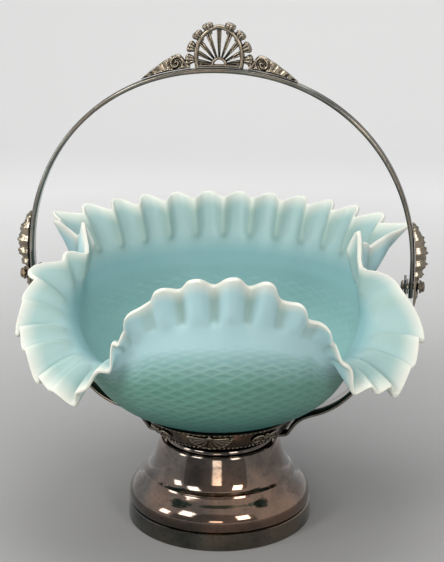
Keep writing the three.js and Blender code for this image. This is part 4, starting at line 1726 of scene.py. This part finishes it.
@dataclass
class Pins:
    """The pivot pins: a low head inside the strap and a fluted knob outside the leaf."""

    hoop: Hoop
    strap: LowerStraps
    leaves: Leaves
    radius: float = 1.9
    head_radius: float = 4.0
    head_thickness: float = 1.9
    knob_radius: float = 4.2
    knob_length: float = 3.9
    flutes: int = 10
    flute_share: float = 0.12
    segments: int = 80
    knob_shares: Table = ((1, 0), (1.04, 0.3), (0.8, 0.5), (0.84, 0.72), (0.5, 0.94))

    def fluted(self, points: np.ndarray, start: float) -> np.ndarray:
        """Flutes the knob and turns the pin's axis to x.

        Args:
            points: Points of the upright pin.
            start: Height on it at which the knob starts.

        Returns:
            The points in place.
        """
        x, y, z = points.T
        turn = np.arctan2(y, x)
        cut = np.where(z > start, self.flute_share * np.abs(np.cos(turn * self.flutes / 2)) ** 3, 0)
        return np.stack([z, y * (1 - cut), self.hoop.pivot - x * (1 - cut)], axis=1)

    def build(self, finishes: Finishes) -> None:
        """Makes both pins and dresses them.

        Args:
            finishes: Finishes of the basket.
        """
        hoop, head, leaves = self.hoop, self.head_radius, self.leaves
        inner = self.strap.reach - self.strap.thickness / 2 - SEAT_GAP
        start = hoop.inner_x + hoop.thickness + 2 * SEAT_GAP + leaves.relief * leaves.seat_share
        low, end = inner - self.head_thickness, start + self.knob_length
        dome = [(0, low), (head * 0.6, low + 0.2), (head * 0.96, low + 0.9), (head, inner - 0.4)]
        shank = [(head, inner), (self.radius, inner), (self.radius, start)]
        knob = [*between(self.knob_shares, (0, start), (self.knob_radius, end)), (0, end)]
        outline = [*smooth_line(dome, 4), *shank, *smooth_line(knob, 5)]
        pin = turned(outline, self.segments).moved(lambda points: self.fluted(points, start + 0.05))
        right = pin.made("fluted_pin_right", 45)
        dress_pair(right, finishes, Slot.BRIGHT, Body.HANDLE, "pivot_pin")


# Glass bowl


@dataclass
class GlassBowl:
    """The hand-crimped bowl, from the same curves as its solid but much finer."""

    wall: float = 2.8
    rim_radius: float = 117.02
    rim_height: float = 201.0
    crimps: int = 32
    crimp_depth: float = 6.0
    crimp_sharpness: float = 1.5
    ruffle: float = 0.8
    ruffle_calm: float = 0.45
    ruffle_pull: float = 0.3
    drawn_start: float = 1.05
    drawn_span: float = 0.25
    crimp_lift: float = 3.4
    dip_follow: float = 0.26
    dip_inset: float = 0.35
    dip_bend: float = 0.75
    lip_bend: float = 0.3
    lip_bend_height: float = 0.55
    scallop: float = 3.4
    back_scallop: float = 1.4
    ease: float = 0.14
    ease_reach: float = 0.34
    columns: int = 32 * 16
    body_rows: int = 130
    lip_rows: int = 34
    quilt_count: int = 20
    quilt_cell: float = 3.5
    quilt_depth: float = 0.4
    quilt_start: float = 3.0
    quilt_end: float = 3.2
    inner_quilt: float = 0.5
    inner_net: float = 0.25
    slope_step: float = 0.03
    # Where the painted shade in the pleats starts and how deep it gets
    fold_shade_start: float = 0.1
    fold_shade_depth: float = 0.85
    frost_width: float = 0.2
    lip_shares: Table = ((0, 0), (0.36, 0.04), (0.55, 0.62), (0.78, 0.85), (1, 1))
    rim_shares: Table = (
        (0, 0.735, 0.97), (8, 0.889, 0.975), (20, 1.1, 0.985), (38, 1.026, 0.995),
        (62, 1.009, 0.998), (90, 1, 1), (118, 1.009, 0.998), (142, 1.026, 0.995),
        (161, 1.1, 0.987), (172, 0.889, 0.975), (180, 0.735, 0.97), (186, 0.889, 0.935),
        (192, 1.043, 0.886), (199, 1.145, 0.796), (207, 1.171, 0.706), (215, 1.137, 0.617),
        (222, 1.077, 0.567), (229, 1, 0.582), (234, 0.94, 0.662), (238, 0.923, 0.731),
        (243, 0.932, 0.786), (248, 0.949, 0.876), (256, 0.957, 0.945), (266, 0.966, 0.995),
        (280, 0.974, 1.01), (291, 0.957, 0.99), (302, 0.94, 0.915), (308, 0.94, 0.856),
        (314, 0.94, 0.826), (318, 0.94, 0.746), (321, 0.957, 0.687), (326, 1, 0.617),
        (331, 1.051, 0.577), (337, 1.137, 0.587), (342, 1.175, 0.63), (346, 1.19, 0.7),
        (350, 1.16, 0.78), (354, 1.02, 0.876),
    )

    def __post_init__(self) -> None:
        """Prepares the lines that all rings read."""
        self.azimuth = np.arange(self.columns) * 360 / self.columns
        self.turn = np.radians(self.azimuth)
        self.rim_r = self.rim_radius * self.rim_share(1)
        self.rim_z = self.rim_height * self.rim_share(2)
        line = smooth_line(BowlCurve.points(), 10)
        way = way_along(line)
        self.slant = float(way[-1])
        self.body = np.column_stack([way / self.slant, line])
        self.growth = np.array(smooth_line(self.lip_shares, 6))
        phase = self.turn * self.crimps
        drawn = self.drawn_out()
        ruffle = np.cos(2 * phase) * self.ruffle * drawn
        calm = 1 - self.ruffle_calm * drawn
        self.swell = (np.cos(phase) * calm + ruffle) * (1 - self.ruffle_pull * drawn)
        self.wave = (1 - 2 * ((1 - np.cos(phase)) / 2) ** self.crimp_sharpness) * calm + ruffle

    def drawn_out(self) -> np.ndarray:
        """How far the rim is drawn out at each azimuth, from 0 to 1.

        Returns:
            The shares.
        """
        x, y = self.rim_r * np.cos(self.turn), self.rim_r * np.sin(self.turn)
        line = np.stack([x, y, self.rim_z], axis=1)
        pace = np.linalg.norm(np.roll(line, -1, axis=0) - np.roll(line, 1, axis=0), axis=1)
        over = pace / np.median(pace) - self.drawn_start
        share = np.clip(over, 0, self.drawn_span) / self.drawn_span
        wide = self.columns // self.crimps
        return sum(np.roll(share, k) for k in range(-wide, wide + 1)) / (2 * wide + 1)

    def rim_share(self, column: int) -> np.ndarray:
        """Smooth value of a column of the rim table at all azimuths.

        Args:
            column: 1 for the radius and 2 for the height.

        Returns:
            The shares.
        """
        table = np.array(self.rim_shares)
        at = np.concatenate([table[-2:, 0] - 360, table[:, 0], table[:3, 0] + 360])
        value = np.concatenate([table[-2:, column], table[:, column], table[:3, column]])
        index = np.searchsorted(at, self.azimuth, side="right") - 1
        slope = (value[2:] - value[:-2]) / (at[2:] - at[:-2])
        span = at[index + 1] - at[index]
        t = (self.azimuth - at[index]) / span
        leave, arrive = slope[index - 1] * span, slope[index] * span
        return hermite(t, value[index], leave, value[index + 1], arrive)

    def lip_point(self, share: float) -> tuple[np.ndarray, np.ndarray]:
        """Radius and height of the lip's middle surface.

        Args:
            share: 0 at the body and 1 at the rim.

        Returns:
            Radii and heights all round.
        """
        dip = (self.rim_height - self.rim_z) * self.dip_follow
        from_radius = BowlCurve.BODY_RADIUS - self.wall / 2 - dip * self.dip_inset
        from_height = BowlCurve.BODY_HEIGHT - dip
        rise = np.maximum(self.rim_z - from_height, 0)
        bend_radius = from_radius + (self.rim_r - from_radius) * self.lip_bend
        bend_height = from_height + rise * self.lip_bend_height + dip * self.dip_bend
        a, b, c = (1 - share) ** 2, 2 * share * (1 - share), share**2
        return (
            a * from_radius + b * bend_radius + c * self.rim_r,
            a * from_height + b * bend_height + c * self.rim_z,
        )

    def middle(self, row: float) -> tuple[np.ndarray, np.ndarray]:
        """Radius and height on the middle surface.

        Args:
            row: 0 at the seat, 1 at the lip's foot and 2 at the rim.

        Returns:
            Radii and heights all round.
        """
        if row >= 1:
            return self.lip_point(row - 1)
        radius = float(np.interp(row, self.body[:, 0], self.body[:, 1]))
        height = float(np.interp(row, self.body[:, 0], self.body[:, 2]))
        up = (height - BowlCurve.FLOOR) / (BowlCurve.BODY_HEIGHT - BowlCurve.FLOOR)
        top_radius, top_height = self.lip_point(0.0)
        half = self.wall / 2
        shift_radius = (top_radius - (BowlCurve.BODY_RADIUS - half)) * up * up
        shift_height = (top_height - BowlCurve.BODY_HEIGHT) * up * up
        return radius - half + shift_radius, height + half * (1 - up) + shift_height

    def eased(self, row: float) -> tuple[np.ndarray, np.ndarray]:
        """The middle surface with the change from body to lip rounded off.

        Args:
            row: 0 at the seat, 1 at the lip's foot and 2 at the rim.

        Returns:
            Radii and heights all round.
        """
        spread = self.ease * max(0.0, 1 - abs(row - 1) / self.ease_reach)
        near = [self.middle(row + spread * k) for k in (-1.0, -0.5, 0.0, 0.5, 1.0)]
        return sum(spot[0] for spot in near) / len(near), sum(spot[1] for spot in near) / len(near)

    def net(self, row: float) -> np.ndarray:
        """Raised lines of the quilted body, from 0 in the diamonds to 1 on the lines.

        Args:
            row: 0 at the seat and 1 at the lip's foot.

        Returns:
            The numbers all round.
        """
        climb = row * self.slant / self.quilt_cell * math.pi / 2
        first = np.abs(np.sin(self.turn * self.quilt_count + climb))
        second = np.abs(np.sin(self.turn * self.quilt_count - climb))
        return 1 - np.minimum(first, second) ** 0.75

    def ring(self, row: float, face: float) -> tuple[np.ndarray, np.ndarray, np.ndarray]:
        """Points of one ring, how far each lies in a cell of the quilting, and how much painted
        shade its pleat gets.

        Args:
            row: From 0 at the seat to 2 at the rim.
            face: 1 on the outer face and -1 on the inner face.

        Returns:
            The points, the numbers for the painted shade and highlight of the quilting, and the
            numbers for the painted shade in the pleats.
        """
        radius, height = self.eased(row)
        before = self.eased(max(row - self.slope_step, 0.0))
        after = self.eased(min(row + self.slope_step, 2.0))
        along_r, along_z = after[0] - before[0], after[1] - before[1]
        length = np.hypot(along_r, along_z)
        along_r, along_z = along_r / length, along_z / length
        place = max(0.0, row - 1)
        growth = float(np.interp(place, self.growth[:, 0], self.growth[:, 1]))
        net = self.net(row)
        fade = min(1.0, row * self.quilt_start) * max(0.0, 1 - place * self.quilt_end)
        relief = net * self.quilt_depth * fade * (1.0 if face > 0 else self.inner_quilt)
        shift = self.wave * growth * self.crimp_depth + face * self.wall / 2 + relief
        front = (1 - np.sin(self.turn)) / 2
        lift = self.wave * growth * self.crimp_lift * np.maximum(along_z, 0) * (1 + front)
        side = np.abs(np.cos(self.turn)) ** 1.5
        behind = np.maximum(np.sin(self.turn), 0) ** 2
        reach = self.scallop * side + self.back_scallop * behind
        stretch = self.swell * growth * reach
        outward = radius + along_z * shift + along_r * stretch * side
        upward = height - along_r * shift + along_z * stretch + lift
        x, y = outward * np.cos(self.turn), outward * np.sin(self.turn)
        # Painted shade in the pleats, deepest in the troughs of the crimps
        fold_shade = np.clip(-self.wave - self.fold_shade_start, 0, 1) ** 0.7 * min(1.0, growth * 1.2)
        # Share of the quilting's painted shade and highlight that shows, less on the inner face
        shown = fade * (1.0 if face > 0 else self.inner_net)
        return np.stack([x, y, upward], axis=1), 1 - (1 - net) * shown, fold_shade * self.fold_shade_depth

    def rows(self) -> list[tuple[float, float]]:
        """Row and face of each ring: up the outside, round the rim and down the inside.

        Returns:
            The pairs in order.
        """
        up = [i / self.body_rows for i in range(self.body_rows)]
        up += [1 + i / self.lip_rows for i in range(self.lip_rows)]
        outer = [(1.98, 1.0), (1.994, 0.88), (2.0, 0.55)]
        inner = [(row, -face) for row, face in reversed(outer)]
        edge = [*outer, (2.0, 0.0), *inner]
        return [(row, 1.0) for row in up] + edge + [(row, -1.0) for row in reversed(up)]

    def build(self, finishes: Finishes) -> None:
        """Makes the bowl with the numbers its finish reads and dresses it.

        Args:
            finishes: Finishes of the basket.
        """
        rings = []
        names = ("lip", "rim", "inner", "quilt_shading", "fold_shade")
        layers: dict[str, list[float]] = {name: [] for name in names}
        for row, face in self.rows():
            points, quilt_shading, fold_shade = self.ring(row, face)
            rings.append(points)
            layers["lip"] += [row / 2] * self.columns
            layers["rim"] += [max(0.0, 1 - (2 - row) / self.frost_width)] * self.columns
            layers["inner"] += [1.0 if face < 0 else 0.5 if face < 0.5 else 0.0] * self.columns
            layers["quilt_shading"] += quilt_shading.tolist()
            layers["fold_shade"] += fold_shade.tolist()
        faces = ring_faces(len(rings), self.columns)
        pole = len(rings) * self.columns
        last = pole - self.columns
        floor = BowlCurve.FLOOR
        points = np.vstack([*rings, [[0, 0, floor], [0, 0, floor + self.wall]]])
        for i in range(self.columns):
            j = (i + 1) % self.columns
            faces.append([pole, j, i])
            faces.append([pole + 1, last + i, last + j])
        mesh = bpy.data.meshes.new("crimped_bowl")
        mesh.from_pydata((points * MM).tolist(), [], faces)
        for name, values in layers.items():
            layer = mesh.attributes.new(name, "FLOAT", "POINT")
            layer.data.foreach_set("value", [*values, 0.0, 1.0 if name == "inner" else 0.0])
        mesh.update()
        mesh.shade_smooth()
        bowl = bpy.data.objects.new("crimped_bowl", mesh)
        bpy.context.scene.collection.objects.link(bowl)
        dress(bowl, finishes, Slot.GLASS, Body.BOWL, ["glass_bowl"])


# Nodes that keep their own shape


@dataclass
class KeptNodes:
    """Nodes of the frame whose shape is right and that only need a finish."""

    slot: Slot = Slot.DARK
    nodes: tuple[str, ...] = (
        "centre_bolt",
        "centre_nut",
        "nut_washer",
        "pivot_washer_left",
        "pivot_washer_right",
    )

    def build(self, finishes: Finishes) -> None:
        """Dresses the nodes."""
        for node in self.nodes:
            dress_node(node, finishes, self.slot)


# Studio


@dataclass(frozen=True)
class Lamp:
    """A soft area light that the camera doesn't see."""

    name: str
    place: tuple[float, float, float]
    size: Point2
    power: float
    colour: Colour = WHITE
    glossy: bool = True

    def build(self, target_height: float) -> None:
        """Makes the light, facing the object.

        Args:
            target_height: Height in millimetres on the axis that it faces.
        """
        light = bpy.data.lights.new(self.name, "AREA")
        light.shape = "RECTANGLE"
        light.size, light.size_y = self.size[0] * MM, self.size[1] * MM
        light.energy = self.power
        light.color = self.colour
        lamp = bpy.data.objects.new(self.name, light)
        lamp.location = Vector(self.place) * MM
        lamp.visible_glossy = self.glossy
        lamp.visible_camera = False
        aim = lamp.location - Vector((0, 0, target_height * MM))
        lamp.rotation_euler = aim.to_track_quat("Z", "Y").to_euler()
        bpy.context.scene.collection.objects.link(lamp)


@dataclass
class Studio:
    """Floor, backdrop, lights and the camera at the photograph's angle."""

    azimuth: float = 7.14
    elevation: float = 16.93
    distance: float = 966.0
    focal_pixels: float = 1433.0
    target_height: float = 168.9
    target_side: float = 1.77
    backdrop: float = 1900.0
    floor_front: float = 1500.0
    bend: float = 700.0
    wall_height: float = 2400.0
    half_width: float = 2600.0
    # Floor paper close to the object, darker as a painted shadow round it
    near_paper: Colour = (0.27, 0.27, 0.27)
    far_paper: Colour = (0.7, 0.7, 0.7)
    card_front: float = 1450.0
    card_height: float = 1900.0
    card_half_width: float = 2000.0
    card_paper: Colour = (0.08, 0.07, 0.062)
    room_colour: Colour = (0.78, 0.79, 0.8)
    room_light: float = 0.5
    room_shown: float = 0.95
    lamps: tuple[Lamp, ...] = (
        Lamp("key_left", (-620, -760, 820), (340, 420), 6.5, (1.0, 0.98, 0.95)),
        Lamp("key_right", (640, -820, 640), (300, 420), 4.2, (1.0, 0.96, 0.92)),
        Lamp("window_left", (-900, -420, 420), (220, 300), 2.0, (1.0, 0.97, 0.93)),
        Lamp("window_front", (60, -1150, 300), (300, 260), 1.5, (1.0, 0.86, 0.72)),
        Lamp("top_soft", (0, 150, 1100), (900, 900), 6.5),
        Lamp("front_soft", (0, -1200, 520), (900, 700), 6.5, glossy=False),
    )

    def camera(self) -> None:
        """Places the camera."""
        turn, lift = math.radians(self.azimuth), math.radians(self.elevation)
        back = Vector((math.sin(turn), -math.cos(turn), 0)) * math.cos(lift)
        back.z = math.sin(lift)
        side = Vector((math.cos(turn), math.sin(turn), 0))
        target = side * self.target_side + Vector((0, 0, self.target_height))
        lens = bpy.data.cameras.new("photo_camera")
        lens.sensor_width = 36.0
        lens.lens = self.focal_pixels / max(IMAGE_WIDTH, IMAGE_HEIGHT) * lens.sensor_width
        lens.clip_start = 0.01
        camera = bpy.data.objects.new("photo_camera", lens)
        camera.location = (target + back * self.distance) * MM
        camera.rotation_euler = back.to_track_quat("Z", "Y").to_euler()
        bpy.context.scene.collection.objects.link(camera)
        bpy.context.scene.camera = camera

    def sheet(
        self, name: str, line: Sequence[Point2], half_width: float, near: Colour, far: Colour
    ) -> bpy.types.Object:
        """Makes a curved sheet of paper along x.

        Args:
            name: Name of the sheet and its paper.
            line: Rows of y and z along the sheet.
            half_width: Half width along x.
            near: Colour of the paper close to the object; on the sweep it is darker, a painted
                shadow round the object.
            far: Colour of the paper away from it.

        Returns:
            The sheet.
        """
        points = [[side * half_width, y, z] for y, z in line for side in (-1, 1)]
        faces = [[2 * i, 2 * i + 1, 2 * i + 3, 2 * i + 2] for i in range(len(line) - 1)]
        paper = Shell(np.array(points), faces).made(name, 180)
        paper.data.materials.append(StudioFinish(name + "_paper", near, far).make())
        return paper

    def sweep(self) -> None:
        """Makes the floor and the backdrop as one curved sheet."""
        start = self.backdrop - self.bend
        line = [(-self.floor_front, 0.0)]
        for turn in np.linspace(0, math.pi / 2, 17):
            line.append((start + self.bend * math.sin(turn), self.bend * (1 - math.cos(turn))))
        line.append((self.backdrop, self.wall_height))
        self.sheet("studio_sweep", line, self.half_width, self.near_paper, self.far_paper)

    def world(self) -> None:
        """Makes the even light of the room, which shows paler than it shines."""
        world = bpy.data.worlds.new("soft_room")
        world.use_nodes = True
        tree = world.node_tree
        shade = tree.nodes["Background"]
        fill(shade, {"Color": (*self.room_colour, 1.0)})
        level = tree.nodes.new("ShaderNodeMapRange")
        fill(level, {"To Min": self.room_light, "To Max": self.room_shown})
        tree.links.new(background_rays(tree), level.inputs["Value"])
        tree.links.new(level.outputs["Result"], shade.inputs["Strength"])
        bpy.context.scene.world = world

    def build(self) -> None:
        """Makes the whole studio."""
        self.camera()
        self.sweep()
        card = [(-self.card_front, 0.0), (-self.card_front, self.card_height)]
        dark = self.sheet("dark_card", card, self.card_half_width, self.card_paper, self.card_paper)
        dark.visible_camera = False
        for lamp in self.lamps:
            lamp.build(self.target_height)
        self.world()
        bpy.context.scene.view_settings.view_transform = "Standard"


def main() -> None:
    """Builds every part of the basket and the studio, in order."""
    logging.basicConfig(level=logging.INFO, format="%(message)s")
    finishes = Finishes()
    hoop = Hoop()
    foot, cup = SpunFoot(), Cup()
    straps, leaves = LowerStraps(hoop), Leaves(hoop)
    pieces = (
        foot,
        StemDrum(foot),
        cup,
        Gallery(cup),
        straps,
        Bail(hoop),
        Crest(hoop),
        Wings(hoop),
        leaves,
        Pins(hoop, straps, leaves),
        GlassBowl(),
        KeptNodes(),
    )
    for piece in pieces:
        piece.build(finishes)
    Studio().build()


if __name__ == "__main__":
    main()
